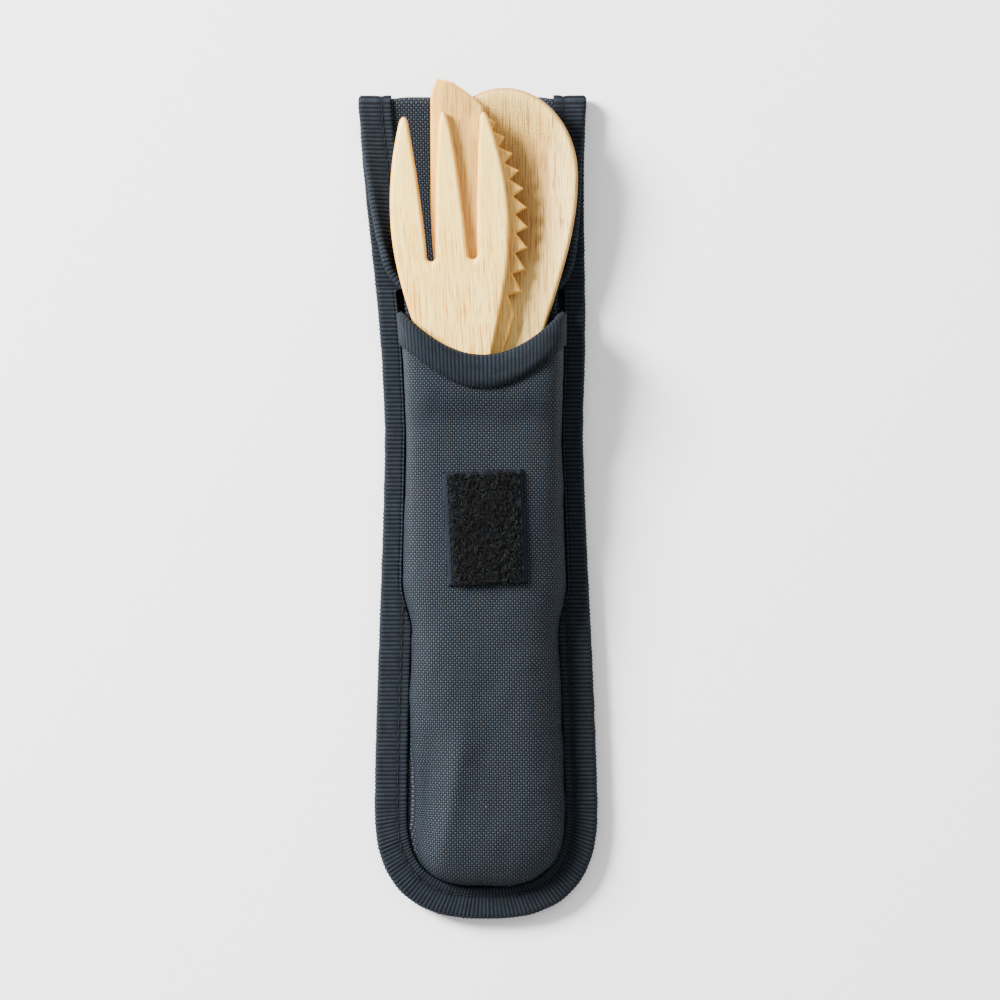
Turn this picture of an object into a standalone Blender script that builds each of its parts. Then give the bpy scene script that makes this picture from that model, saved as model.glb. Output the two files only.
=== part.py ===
"""Wooden cutlery pack: a fork, a knife and a spoon in a bound fabric pouch.

The pack lies on its back. +Y runs from the pouch's bottom to its fold, +Z points away from the
surface it lies on, and the origin is under the middle of the whole pack. The pouch is sewn from two
panels. The back panel carries on upwards, folds forward and is tucked down into the mouth as a
flap, so the back and the flap are one sheet. One folded tape binds that sheet all round and closes
the pouch's sides, and a second folded tape binds the mouth.
"""
import bmesh
import bpy
import numpy as np
from math import atan, pi, radians

MM = 0.001

# Cloth, tape and sewing
CLOTH = 0.7 * MM            # thickness of a panel
TAPE = 0.45 * MM            # thickness of the binding tape
TAPE_WIDTH = 7.5 * MM       # a 15 mm tape folded double reaches this far over each face
SEAM = 5.0 * MM             # the stitch line's distance from the outer edge
GAP = 0.3 * MM              # left between pieces that touch
TAPE_STEPS = [0.0, 1.6 * MM, 3.2 * MM, SEAM, TAPE_WIDTH]     # across one layer of the tape
WRAP = CLOTH / 2 + GAP + TAPE / 2      # from a panel's middle surface to the tape's
REACH = GAP + TAPE / 2                 # how far the tape's fold stands off a panel's edge

# The pouch in plan
FOLD_Y = 99.0 * MM          # where the back panel starts to turn over
NECK_Y = 17.4 * MM          # the narrowest place
HIP_Y = -76.6 * MM          # the widest place, where the round bottom starts
BOTTOM_Y = -104.4 * MM
FOLD_HALF = 27.8 * MM
NECK_HALF = 24.1 * MM
HIP_HALF = 27.2 * MM
ROUND = 2.6                 # exponent of the bottom's superellipse
LOW_CENTRE = 1.2 * MM       # the pouch leans: its middle at the neck and below,
TOP_CENTRE = -1.2 * MM      # and at the fold
LEAN_FROM = 30.0 * MM
LEAN_TO = 95.0 * MM
LOW_LEAN = 0.006            # the small slant of the lower middle line

# Heights
BACK_Z = CLOTH / 2
FLAP_Z = 3.75 * MM          # middle surface of the flap
SIDE_LIFT = 1.55 * MM       # the side seams are drawn up from the back by this much,
TOP_LIFT = 0.8 * MM         # and above the mouth by this much
LIFT_RAMP = 4.0 * MM
LAYER_STEP = CLOTH + GAP    # from one panel to the next where they are sewn together

# The front panel's arch
MOUTH_MID_Y = 35.3 * MM     # the mouth's edge at the middle,
MOUTH_RISE = 15.0 * MM      # and how much higher it is at MOUTH_REACH to either side
MOUTH_REACH = 23.0 * MM
CORNER_Y = 52.2 * MM        # the front panel's corners end here, at the side seams
LOW_INSET = 7.8 * MM        # low on the pouch the arch starts inside the whole tape, above at the seam
CROWN_MOUTH = 14.9 * MM     # height of the arch's crown near the mouth,
CROWN_HIP = 11.6 * MM       # and at the widest place
MOUTH_LIFT = 1.8 * MM       # extra height under the mouth's tape
ARCH_LOW = 3.0              # exponent of the arch's superellipse low on the pouch,
ARCH_MOUTH = 6.0            # and near the mouth, where it is squarer

# The flap: half its width in plan, and how far its edges turn up, at places down its length
FLAP_END_Y = -22.0 * MM
FLAP_CORNER = 8.0 * MM
FLAP_EDGE = [(99.0, 27.8), (83.0, 26.4), (73.0, 25.4), (66.0, 24.4), (60.0, 23.2), (57.0, 22.0),
             (54.5, 20.2), (52.5, 18.4), (47.5, 17.9), (42.0, 17.6), (17.4, 17.2), (-22.0, 17.2)]
FLAP_TURN = [(99.0, 0.0), (83.0, 0.28), (66.0, 0.7), (56.0, 1.2), (52.0, 1.35), (36.0, 1.4),
             (4.0, 0.0), (-22.0, 0.0)]
FLAP_WALL = [(99.0, 3.0), (62.0, 2.0), (54.0, 0.0), (-22.0, 0.0)]
FLAP_CURL = 3.2 * MM        # radius of the turned-up edge

# The closing patches: size, middle and turn of the soft one and of the stiff one
PATCH_THICK = 1.6 * MM
LOOP_SIZE = (20.0 * MM, 28.5 * MM)
LOOP_PLACE = (1.6 * MM, -7.0 * MM)
LOOP_TURN = radians(2.6)
HOOK_SIZE = (18.0 * MM, 26.0 * MM)
HOOK_PLACE = (1.2 * MM, 0.5 * MM)

# The cutlery: three plates in one stack, which rests on the spoon's bowl and on its butt end
STACK_BUTT_Y = -94.0 * MM
STACK_BUTT_Z = 3.0 * MM
STACK_SLOPE = 0.0338
ROUNDING = 0.5 * MM         # of the edges of the flat pieces
HANDLE_HALF = 5.8 * MM
BUTT_HALF = 7.2 * MM

SPOON_THICK = 2.0 * MM
SPOON_LENGTH = 195.0 * MM
SPOON_TIP = (6.2 * MM, 102.9 * MM)
SPOON_TURN = radians(0.3)
SPOON_HALF = 18.4 * MM
SPOON_WIDEST = 22.0 * MM    # from the tip
SPOON_NECK = 63.0 * MM      # from the widest place
SPOON_DEPTH = 4.4 * MM

KNIFE_THICK = 2.0 * MM
KNIFE_TIP_Y = 105.1 * MM
KNIFE_BUTT_Y = -93.0 * MM
KNIFE_X = 0.25 * MM
SPINE_HALF = 12.3 * MM
BELLY_HALF = 12.0 * MM
BELLY_Y = 67.5 * MM
BELLY_TOP = 40.0 * MM       # the belly's arc reaches this far above BELLY_Y,
BELLY_LOW = 48.0 * MM       # and this far below it
BELLY_BULGE = 31.5 * MM
TEETH = 12
TOOTH_TOP_Y = 98.0 * MM
TOOTH_PITCH = 3.5 * MM      # from the first tooth to the second,
TOOTH_GROWTH = 0.11 * MM    # and half of what each pitch grows by
TOOTH_DEPTH = 3.0 * MM      # of the lower teeth; the first few are shallower
NOTCH_SHIFT = 0.33 * MM     # each notch lies this much nearer the tooth above than the one before it,
NOTCH_START = -1.6 * MM     # counted from here,
NOTCH_LEAST = -0.4 * MM     # and never lower than this against the middle of two teeth
HEEL_Y = 41.0 * MM

FORK_THICK = 2.0 * MM
FORK_LENGTH = 188.0 * MM
FORK_TIP = (-8.9 * MM, 96.9 * MM)
FORK_TURN = radians(3.5)
FORK_HALF = 14.8 * MM
FORK_TIP_HALF = 10.5 * MM
FORK_WIDEST = 27.0 * MM     # from the tips
FORK_NECK = 54.0 * MM       # from the widest place
SLOT_DEPTH = 36.0 * MM
SLOT_INNER = 4.1 * MM       # the slot's two sides at its bottom
SLOT_OUTER = 6.3 * MM
SLOT_FLARE = 2.9 * MM       # how much the outer side moves out at the tips


def clear_scene():
    """Remove every object, so that the pack is alone."""
    for item in list(bpy.data.objects):
        bpy.data.objects.remove(item, do_unlink=True)


def material(name, colour, roughness):
    """A plain non-metallic Principled material."""
    made = bpy.data.materials.new(name)
    made.use_nodes = True
    shader = made.node_tree.nodes["Principled BSDF"]
    shader.inputs["Base Color"].default_value = (*colour, 1.0)
    shader.inputs["Roughness"].default_value = roughness
    shader.inputs["Metallic"].default_value = 0.0
    made.diffuse_color = (*colour, 1.0)
    return made


def smooth(t):
    """0 below 0, 1 above 1, and a soft S between."""
    t = np.clip(t, 0.0, 1.0)
    return t * t * (3.0 - 2.0 * t)


def through(stations, y):
    """A smooth curve through (place, value) stations in millimetres, read at y in metres.

    It is a cubic whose slopes are harmonic means, so that it never overshoots its stations.
    """
    places, values = np.array(sorted(stations)).T * MM
    secants = np.diff(values) / np.diff(places)
    before, after = secants[:-1], secants[1:]
    turning = before * after <= 0
    inner = np.where(turning, 0.0, 2 * before * after / np.where(turning, 1.0, before + after))
    slopes = np.concatenate([secants[:1], inner, secants[-1:]])
    k = np.clip(np.searchsorted(places, y) - 1, 0, len(places) - 2)
    span = places[k + 1] - places[k]
    t = np.clip((y - places[k]) / span, 0.0, 1.0)
    start = (1 + 2 * t) * (1 - t) ** 2 * values[k] + t * (1 - t) ** 2 * span * slopes[k]
    end = t * t * (3 - 2 * t) * values[k + 1] - t * t * (1 - t) * span * slopes[k + 1]
    return start + end


def half_width(y):
    """Half the pouch's width at y, above the round bottom."""
    up = np.clip((y - NECK_Y) / (FOLD_Y - NECK_Y), 0.0, 1.0)
    down = np.clip((NECK_Y - y) / (NECK_Y - HIP_Y), 0.0, 1.0)
    swell = 0.4 * down + 0.6 * smooth(down)
    return NECK_HALF + (FOLD_HALF - NECK_HALF) * up ** 1.15 + (HIP_HALF - NECK_HALF) * swell


def centre(y):
    """The pouch's middle line, which leans a little to one side."""
    lean = smooth((y - LEAN_FROM) / (LEAN_TO - LEAN_FROM))
    return LOW_CENTRE + (TOP_CENTRE - LOW_CENTRE) * lean + LOW_LEAN * (NECK_Y - np.maximum(y, HIP_Y))


def rays(bottom, side_ys):
    """Rays from the outer edge in to the middle: (spine x, spine y, edge dx, edge dy) for each.

    Round the bottom they all run to one point, and up the sides they lie straight across.
    """
    found = []
    for angle in np.linspace(pi / 2, 0.0, bottom + 1)[:-1]:
        dx = HIP_HALF * abs(np.cos(angle)) ** (2 / ROUND) if angle < pi / 2 else 0.0
        dy = (BOTTOM_Y - HIP_Y) * np.sin(angle) ** (2 / ROUND)
        found.append((centre(HIP_Y), HIP_Y, dx, dy))
    for y in side_ys:
        found.append((centre(y), y, half_width(y), 0.0))
    return found


def side_rows():
    """Places up the pouch's sides, closer together where the mouth's corner is."""
    corner = np.array([48.0, 51.0, 52.1, 53.3, 58.0]) * MM
    return np.concatenate([np.linspace(HIP_Y, 44 * MM, 11), corner, np.linspace(66 * MM, FOLD_Y, 5)])


def flap_rows():
    """Places down the flap, closer together where its edges turn up into the mouth."""
    return np.concatenate([np.linspace(FOLD_Y, 62 * MM, 6), np.linspace(60, 46, 9) * MM,
                           np.linspace(42, 2, 10) * MM, [-6 * MM, FLAP_END_Y + FLAP_CORNER]])


def side_lift(y):
    """How far the side seams are drawn up off the back."""
    return TOP_LIFT + (SIDE_LIFT - TOP_LIFT) * smooth((CORNER_Y - y) / (8 * MM))


def back_height(inset, y):
    """Middle surface of the back panel at a distance in from the edge."""
    ramp = 1.0 - smooth((inset - TAPE_WIDTH) / LIFT_RAMP)
    return BACK_Z + side_lift(y) * ramp


def crown(y):
    """Height of the front panel's middle surface along its middle."""
    along = np.clip((y - HIP_Y) / (MOUTH_MID_Y - HIP_Y), 0.0, 1.0)
    lift = MOUTH_LIFT * smooth((y - 18 * MM) / (10 * MM))
    return CROWN_HIP + (CROWN_MOUTH - CROWN_HIP) * along + lift


def arch_power(y):
    """Exponent of the arch's superellipse at y."""
    return ARCH_LOW + (ARCH_MOUTH - ARCH_LOW) * smooth((y + 20 * MM) / (50 * MM))


def front_base(y):
    """Height of the front panel's middle surface at the side seams."""
    return BACK_Z + side_lift(y) + LAYER_STEP


def arch_inset(y):
    """How far in from the outer edge the arch starts."""
    return SEAM + (LOW_INSET - SEAM) * smooth((-20 * MM - y) / (14 * MM))


def arch(ray, angle):
    """A point of the front panel on a ray: angle 0 at the seam, a right angle at the middle."""
    spine_x, spine_y, dx, dy = ray
    length = np.hypot(dx, dy)
    power = 2 / arch_power(spine_y)
    share = (1.0 - arch_inset(spine_y) / length) * np.cos(angle) ** power
    base = front_base(spine_y)
    height = base + (crown(spine_y) - base) * np.sin(angle) ** power
    return np.array([spine_x + dx * share, spine_y + dy * share, height])


def even_angles(count, first=0.0):
    """Angles from the seam to the middle that cut a typical arch into equal lengths."""
    fine = np.linspace(first, pi / 2, 400)
    run = HIP_HALF - SEAM
    rise = CROWN_HIP - front_base(HIP_Y)
    x = run * np.cos(fine) ** (2 / ARCH_LOW)
    z = rise * np.sin(fine) ** (2 / ARCH_LOW)
    length = np.concatenate([[0.0], np.cumsum(np.hypot(np.diff(x), np.diff(z)))])
    return np.interp(np.linspace(0.0, length[-1], count + 1), length, fine)


def mouth_y(offset):
    """The mouth's edge in plan, at an offset from the middle line."""
    return min(MOUTH_MID_Y + MOUTH_RISE * (offset / MOUTH_REACH) ** 2, CORNER_Y - 0.6 * MM)


def side_ray(y):
    """The ray that lies straight across the pouch at y."""
    return (centre(y), y, half_width(y), 0.0)


def front_at(side, angle, y):
    """A point of the front panel above the round bottom, on the left (-1) or the right (+1)."""
    spine_x, spine_y, dx, dy = side_ray(y)
    return arch((spine_x, spine_y, side * dx, dy), angle)


def front_section(ray, distance):
    """Point and outward normal of the front panel, at a distance from its edge along the cloth.

    At the seam, where the wall rises, the normal is the mitre between the flat and the wall.
    """
    spine_x, spine_y, dx, dy = ray
    length = np.hypot(dx, dy)
    inward = np.array([-dx, -dy, 0.0]) / length
    edge = np.array([spine_x + dx, spine_y + dy, front_base(spine_y)])
    up = np.array([0.0, 0.0, 1.0])
    inset = arch_inset(spine_y)
    if distance <= inset:
        corner = -inward if distance == inset else 0.0
        return edge + inward * distance, up + corner
    fine = np.array([arch(ray, angle) for angle in np.linspace(0.0, 1.2, 160) ** 3 / 1.44])
    run = np.concatenate([[0.0], np.cumsum(np.linalg.norm(np.diff(fine, axis=0), axis=1))])
    here = np.array([np.interp(distance - inset, run, fine[:, k]) for k in range(3)])
    ahead = np.array([np.interp(distance - inset + 0.2 * MM, run, fine[:, k]) for k in range(3)])
    tangent = (ahead - here) / np.linalg.norm(ahead - here)
    return here, up * np.dot(tangent, inward) - inward * tangent[2]


def flap_corner(y):
    """How much the flap's rounded corners take off its half width at y."""
    into = np.clip(FLAP_END_Y + FLAP_CORNER - y, 0.0, FLAP_CORNER)
    return FLAP_CORNER - np.sqrt(FLAP_CORNER ** 2 - into ** 2)


def flap_point(y, share):
    """A point of the flap's middle surface; share is 0 at its middle and 1 or -1 at its edges."""
    edge = through(FLAP_EDGE, y) - flap_corner(y)
    turn = through(FLAP_TURN, y) / MM
    wall = through(FLAP_WALL, y)
    flat = edge - FLAP_CURL * np.sin(turn) - wall * np.cos(turn)
    along = abs(share) * (flat + FLAP_CURL * turn + wall)
    angle = np.clip((along - flat) / FLAP_CURL, 0.0, turn)
    rest = max(along - flat - FLAP_CURL * turn, 0.0)
    x = min(along, flat) + FLAP_CURL * np.sin(angle) + rest * np.cos(turn)
    z = FLAP_CURL * (1.0 - np.cos(angle)) + rest * np.sin(turn)
    side = -1.0 if share < 0 else 1.0
    return np.array([centre(y) + side * x, y, FLAP_Z + z])


def flap_half_length(y):
    """Half the flap's width measured along the cloth."""
    edge = through(FLAP_EDGE, y) - flap_corner(y)
    turn = through(FLAP_TURN, y) / MM
    wall = through(FLAP_WALL, y)
    return edge - FLAP_CURL * np.sin(turn) - wall * np.cos(turn) + FLAP_CURL * turn + wall


def flap_frame(y, inset):
    """Point, normal and outward direction of the flap, at a distance in from its right edge."""
    def at(place, distance):
        return flap_point(place, 1.0 - distance / flap_half_length(place))
    across = at(y, inset + 0.2 * MM) - at(y, inset)
    along = at(y - 0.4 * MM, inset) - at(y + 0.4 * MM, inset)
    normal = np.cross(across, along)
    return at(y, inset), normal / np.linalg.norm(normal), -across / np.linalg.norm(across)


def fold_point(share, inset, angle):
    """Point and outer normal on the fold: angle 0 is on the back panel, a half turn on the flap."""
    low = back_height(inset, FOLD_Y)
    radius = (FLAP_Z - low) / 2
    x = centre(FOLD_Y) + half_width(FOLD_Y) * share
    normal = np.array([0.0, np.sin(angle), -np.cos(angle)])
    return np.array([x, FOLD_Y, low + radius]) + normal * radius, normal


def add_to(collection, item, coat):
    """Put an object in a collection with its material."""
    for holder in list(item.users_collection):
        holder.objects.unlink(item)
    collection.objects.link(item)
    item.data.materials.clear()
    item.data.materials.append(coat)


def cloth(name, points, thickness, coat, collection):
    """A grid primitive whose vertices go to points[row, column], given a thickness by Solidify."""
    rows, columns = points.shape[:2]
    mesh = bmesh.new()
    bmesh.ops.create_grid(mesh, x_segments=columns - 1, y_segments=rows - 1, size=0.5)
    for vertex in mesh.verts:
        column = round((vertex.co.x + 0.5) * (columns - 1))
        row = round((vertex.co.y + 0.5) * (rows - 1))
        vertex.co = points[row, column]
    bmesh.ops.remove_doubles(mesh, verts=mesh.verts, dist=0.01 * MM)
    bmesh.ops.recalc_face_normals(mesh, faces=mesh.faces)
    data = bpy.data.meshes.new(name)
    mesh.to_mesh(data)
    mesh.free()
    data.shade_smooth()
    item = bpy.data.objects.new(name, data)
    collection.objects.link(item)
    add_to(collection, item, coat)
    solid = item.modifiers.new("thickness", "SOLIDIFY")
    solid.thickness = thickness
    solid.offset = 0.0
    return item


def plate(name, outline, thickness, coat, collection, parent, place, turn):
    """A flat outline as a filled 2D curve with rounded edges, made a mesh and laid in the stack."""
    curve = bpy.data.curves.new(name + "_outline", "CURVE")
    curve.dimensions = "2D"
    curve.fill_mode = "BOTH"
    curve.extrude = thickness / 2 - ROUNDING
    curve.bevel_depth = ROUNDING
    curve.bevel_resolution = 1
    curve.offset = -ROUNDING
    spline = curve.splines.new("POLY")
    spline.points.add(len(outline) - 1)
    for point, (x, y) in zip(spline.points, outline):
        point.co = (x, y, 0.0, 1.0)
    spline.use_cyclic_u = True
    guide = bpy.data.objects.new(name + "_outline", curve)
    collection.objects.link(guide)
    seen = guide.evaluated_get(bpy.context.evaluated_depsgraph_get())
    data = bpy.data.meshes.new_from_object(seen)
    bpy.data.objects.remove(guide, do_unlink=True)
    mesh = bmesh.new()
    mesh.from_mesh(data)
    bmesh.ops.remove_doubles(mesh, verts=mesh.verts, dist=0.01 * MM)
    mesh.to_mesh(data)
    mesh.free()
    data.name = name
    item = bpy.data.objects.new(name, data)
    add_to(collection, item, coat)
    item.parent = parent
    item.location = place
    item.rotation_euler = (0.0, 0.0, turn)
    return item


def sheet_shares(length):
    """Columns across the sheet: the tape's steps in from each edge, and a few to the middle."""
    inner = length - TAPE_WIDTH
    insets = TAPE_STEPS + [TAPE_WIDTH + 0.16 * inner, TAPE_WIDTH + 0.3 * inner, TAPE_WIDTH + 0.6 * inner]
    half = [1.0 - inset / length for inset in insets]
    return [-share for share in half] + [0.0] + half[::-1]


def back_panel_and_flap(coat, collection):
    """The long sheet: round bottom, back, fold and flap."""
    rows = []
    for spine_x, spine_y, dx, dy in rays(8, side_rows()):
        length = np.hypot(dx, dy)
        row = [(spine_x + np.sign(s) * dx * abs(s), spine_y + dy * abs(s),
                back_height((1 - abs(s)) * length, spine_y)) for s in sheet_shares(length)]
        rows.append(row)
    reach = half_width(FOLD_Y)
    for angle in np.linspace(0.0, pi, 7)[1:-1]:
        rows.append([fold_point(s, (1 - abs(s)) * reach, angle)[0] for s in sheet_shares(reach)])
    corner = FLAP_END_Y + FLAP_CORNER * (1.0 - np.sin(np.linspace(0.0, pi / 2, 5)[1:]))
    for y in np.concatenate([flap_rows(), corner]):
        rows.append([flap_point(y, s) for s in sheet_shares(flap_half_length(y))])
    return cloth("back_panel_and_flap", np.array(rows), CLOTH, coat, collection)


def front_panel(coat, collection):
    """The arched front: a flat seam allowance, steep sides and a soft crown, open at the mouth."""
    angles = even_angles(10)
    columns = [("edge", 0.0), ("edge", 0.5)] + [("arch", a) for a in angles]
    rows = []
    for ray in rays(8, []):
        rows.append([front_row_point(ray, side, kind, value)
                     for side, kind, value in both_sides(columns)])
    for step in np.linspace(0.0, 1.0, 16):
        row = []
        for side, kind, value in both_sides(columns):
            offset = half_width(MOUTH_MID_Y)
            if kind == "arch":
                offset = (offset - SEAM) * np.cos(value) ** (2 / ARCH_MOUTH)
            y = HIP_Y + step * (mouth_y(offset) - HIP_Y)
            row.append(front_row_point(side_ray(y), side, kind, value))
        rows.append(row)
    return cloth("front_panel", np.array(rows), CLOTH, coat, collection)


def both_sides(columns):
    """The columns of one half, from the left edge to the middle and on to the right edge."""
    left = [(-1.0, kind, value) for kind, value in columns]
    right = [(1.0, kind, value) for kind, value in columns[-2::-1]]
    return left + right


def front_row_point(ray, side, kind, value):
    """A point of the front panel on its seam allowance or on its arch."""
    spine_x, spine_y, dx, dy = ray
    if kind == "arch":
        return arch((spine_x, spine_y, side * dx, dy), value)
    share = 1.0 - value * arch_inset(spine_y) / np.hypot(dx, dy)
    return np.array([spine_x + side * dx * share, spine_y + dy * share, front_base(spine_y)])


def folded(outer, inner, outward):
    """One section of folded tape: outer layer, round the edge, inner layer.

    outer and inner are (points, normals) from the tape's margin to the panel's edge.
    """
    section = [p + n * WRAP for p, n in outer]
    top = outer[-1][0] + outer[-1][1] * WRAP
    low = inner[-1][0] + inner[-1][1] * WRAP
    middle = (top + low) / 2
    for angle in (pi / 4, pi / 2, 3 * pi / 4):
        section.append(middle + (top - middle) * np.cos(angle) + outward * REACH * np.sin(angle))
    section += [p + n * WRAP for p, n in reversed(inner)]
    return section


def edge_binding(coat, collection):
    """The long tape: one closed loop round the whole of the back-and-flap sheet."""
    depths = TAPE_STEPS[::-1]
    down = np.array([0.0, 0.0, -1.0])
    half = []
    for ray in rays(8, side_rows()):
        spine_x, y, dx, dy = ray
        length = np.hypot(dx, dy)
        outward = np.array([dx, dy, 0.0]) / length
        edge = np.array([spine_x + dx, y + dy, 0.0])
        back = [edge - outward * d + [0, 0, back_height(d, y)] for d in depths]
        front = [front_section(ray, d) for d in depths]
        open_part = smooth((y - CORNER_Y) / MM)
        inner = []
        for lower, (upper, normal) in zip(back, front):
            inner.append((upper * (1 - open_part) + lower * open_part,
                          normal * (1 - open_part) - down * open_part))
        half.append(folded([(p, down) for p in back], inner, outward))
    aside = np.array([1.0, 0.0, 0.0])
    reach = half_width(FOLD_Y)
    for angle in np.linspace(0.0, pi, 7)[1:]:
        on_fold = [fold_point(1 - d / reach, d, angle) for d in depths]
        half.append(folded(on_fold, [(p, -n) for p, n in on_fold], aside))
    for y in flap_rows()[1:]:
        layer = [flap_frame(y, d) for d in depths]
        half.append(folded([(p, n) for p, n, _ in layer], [(p, -n) for p, n, _ in layer], layer[-1][2]))
    end_half = through(FLAP_EDGE, FLAP_END_Y) - FLAP_CORNER
    pivot = np.array([centre(FLAP_END_Y) + end_half, FLAP_END_Y + FLAP_CORNER, FLAP_Z])
    for angle in np.linspace(0.0, pi / 2, 5)[1:]:
        outward = np.array([np.cos(angle), -np.sin(angle), 0.0])
        layer = [(pivot + outward * (FLAP_CORNER - d), -down) for d in depths]
        half.append(folded(layer, [(p, -n) for p, n in layer], outward))
    middle = half[-1] + np.array([-end_half, 0.0, 0.0])
    half.append(list(middle))
    right = np.array(half)
    left = right.copy()
    lean = np.array([centre(section[:, 1]) for section in right])
    left[:, :, 0] = 2 * lean - right[:, :, 0]
    loop = np.concatenate([right, left[-2::-1]])
    return cloth("edge_binding", loop, TAPE, coat, collection)


def mouth_binding(coat, collection):
    """The short tape, folded over the front panel's upper edge from one side seam to the other."""
    first = 0.05
    angles = even_angles(11, first)
    depths = [TAPE_WIDTH, 3.7 * MM, 0.0]
    sections = []
    for side, _, angle in both_sides([("arch", a) for a in angles]):
        offset = (half_width(MOUTH_MID_Y) - SEAM) * np.cos(angle) ** (2 / ARCH_MOUTH)
        layer = []
        for depth in depths:
            y = mouth_y(offset) - depth
            here = front_at(side, angle, y)
            across = front_at(side, min(angle + 0.01, pi / 2), y) - front_at(side, angle - 0.01, y)
            along = front_at(side, angle, y + MM) - front_at(side, angle, y - MM)
            normal = np.cross(across, along) * -side
            layer.append((here, normal / np.linalg.norm(normal)))
        outward = along / np.linalg.norm(along)
        sections.append(folded(layer, [(p, -n) for p, n in layer], outward))
    return cloth("mouth_binding", np.array(sections), TAPE, coat, collection)


def front_height(x, y):
    """Height of the front panel's middle surface over a place near the pouch's middle."""
    share = abs(x - centre(y)) / (half_width(y) - arch_inset(y))
    base = front_base(y)
    return base + (crown(y) - base) * (1 - share ** arch_power(y)) ** (1 / arch_power(y))


def patch_points(columns, rows, size, place, turn, height):
    """A patch's rectangle as a grid of points laid at height(x, y)."""
    turned = np.array([[np.cos(turn), -np.sin(turn)], [np.sin(turn), np.cos(turn)]])
    points = np.zeros((rows, columns, 3))
    for r, v in enumerate(np.linspace(-0.5, 0.5, rows)):
        for c, u in enumerate(np.linspace(-0.5, 0.5, columns)):
            x, y = turned @ (u * size[0], v * size[1]) + place
            points[r, c] = (x, y, height(x, y))
    return points


def loop_patch(coat, collection):
    """The soft half of the closing patch, sewn on the front panel."""
    over = CLOTH / 2 + GAP + PATCH_THICK / 2
    points = patch_points(9, 9, LOOP_SIZE, LOOP_PLACE, LOOP_TURN,
                          lambda x, y: front_height(x, y) + over)
    return cloth("loop_patch", points, PATCH_THICK, coat, collection)


def hook_patch(coat, collection):
    """The stiff half, sewn on the flap's inner face, which here looks towards the back panel."""
    level = FLAP_Z - CLOTH / 2 - GAP - PATCH_THICK / 2
    points = patch_points(2, 2, HOOK_SIZE, HOOK_PLACE, 0.0, lambda x, y: level)
    return cloth("hook_patch", points, PATCH_THICK, coat, collection)


def narrowing(s, start, length, wide, narrow):
    """Half width along a piece that narrows from wide to narrow as half a cosine wave."""
    t = np.clip((s - start) / length, 0.0, 1.0)
    return narrow + (wide - narrow) * (0.5 + 0.5 * np.cos(pi * t))


def handle_end(s, length):
    """Share of the half width left near the butt end, which is rounded."""
    into = np.clip((s - (length - BUTT_HALF)) / BUTT_HALF, 0.0, 1.0)
    return (1.0 - into ** 2.4) ** (1 / 2.4)


def handle_swell(s, length):
    """A handle widens from HANDLE_HALF at its neck to BUTT_HALF at its butt."""
    return (BUTT_HALF - HANDLE_HALF) * smooth((s - 0.45 * length) / (0.5 * length))


def spoon_half(s):
    """Half width of the spoon, s from the tip: half an ellipse, a long neck and the handle."""
    bowl = SPOON_HALF * np.sqrt(np.clip(1 - (np.minimum(s, SPOON_WIDEST) / SPOON_WIDEST - 1) ** 2, 0, 1))
    neck = narrowing(s, SPOON_WIDEST, SPOON_NECK, SPOON_HALF, HANDLE_HALF)
    shaft = neck + handle_swell(s, SPOON_LENGTH)
    return np.where(s < SPOON_WIDEST, bowl, shaft * handle_end(s, SPOON_LENGTH))


def spoon(coat, collection, stack):
    """One dished plate: the bowl sinks below the plate, and the rim stays level with the handle."""
    tip = SPOON_WIDEST * (1 - np.cos(np.linspace(0.0, pi / 2, 9)))
    body = np.linspace(SPOON_WIDEST, SPOON_LENGTH - BUTT_HALF, 24)[1:]
    butt = SPOON_LENGTH - BUTT_HALF * (1 - np.sin(np.linspace(0.0, pi / 2, 6)[1:]))
    shares = np.array([-1.0, -0.9, -0.75, -0.5, -0.25, 0.0, 0.25, 0.5, 0.75, 0.9, 1.0])
    rows = []
    for s in np.concatenate([tip, body, butt]):
        dish = smooth(s / (20 * MM)) * (1 - smooth((s - 30 * MM) / (36 * MM)))
        z = -SPOON_DEPTH * dish * (1 - shares ** 2) ** 1.5
        rows.append(np.stack([spoon_half(s) * shares, np.full_like(shares, -s), z], axis=1))
    item = cloth("spoon", np.array(rows), SPOON_THICK, coat, collection)
    item.parent = stack
    item.location = (SPOON_TIP[0], SPOON_TIP[1] - STACK_BUTT_Y, SPOON_THICK / 2)
    item.rotation_euler = (0.0, 0.0, SPOON_TURN)
    return item


def belly(y):
    """The line through the tips of the knife's teeth."""
    reach = BELLY_TOP if y > BELLY_Y else BELLY_LOW
    return BELLY_HALF - BELLY_BULGE * (1 - np.sqrt(1 - ((y - BELLY_Y) / reach) ** 2))


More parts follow.
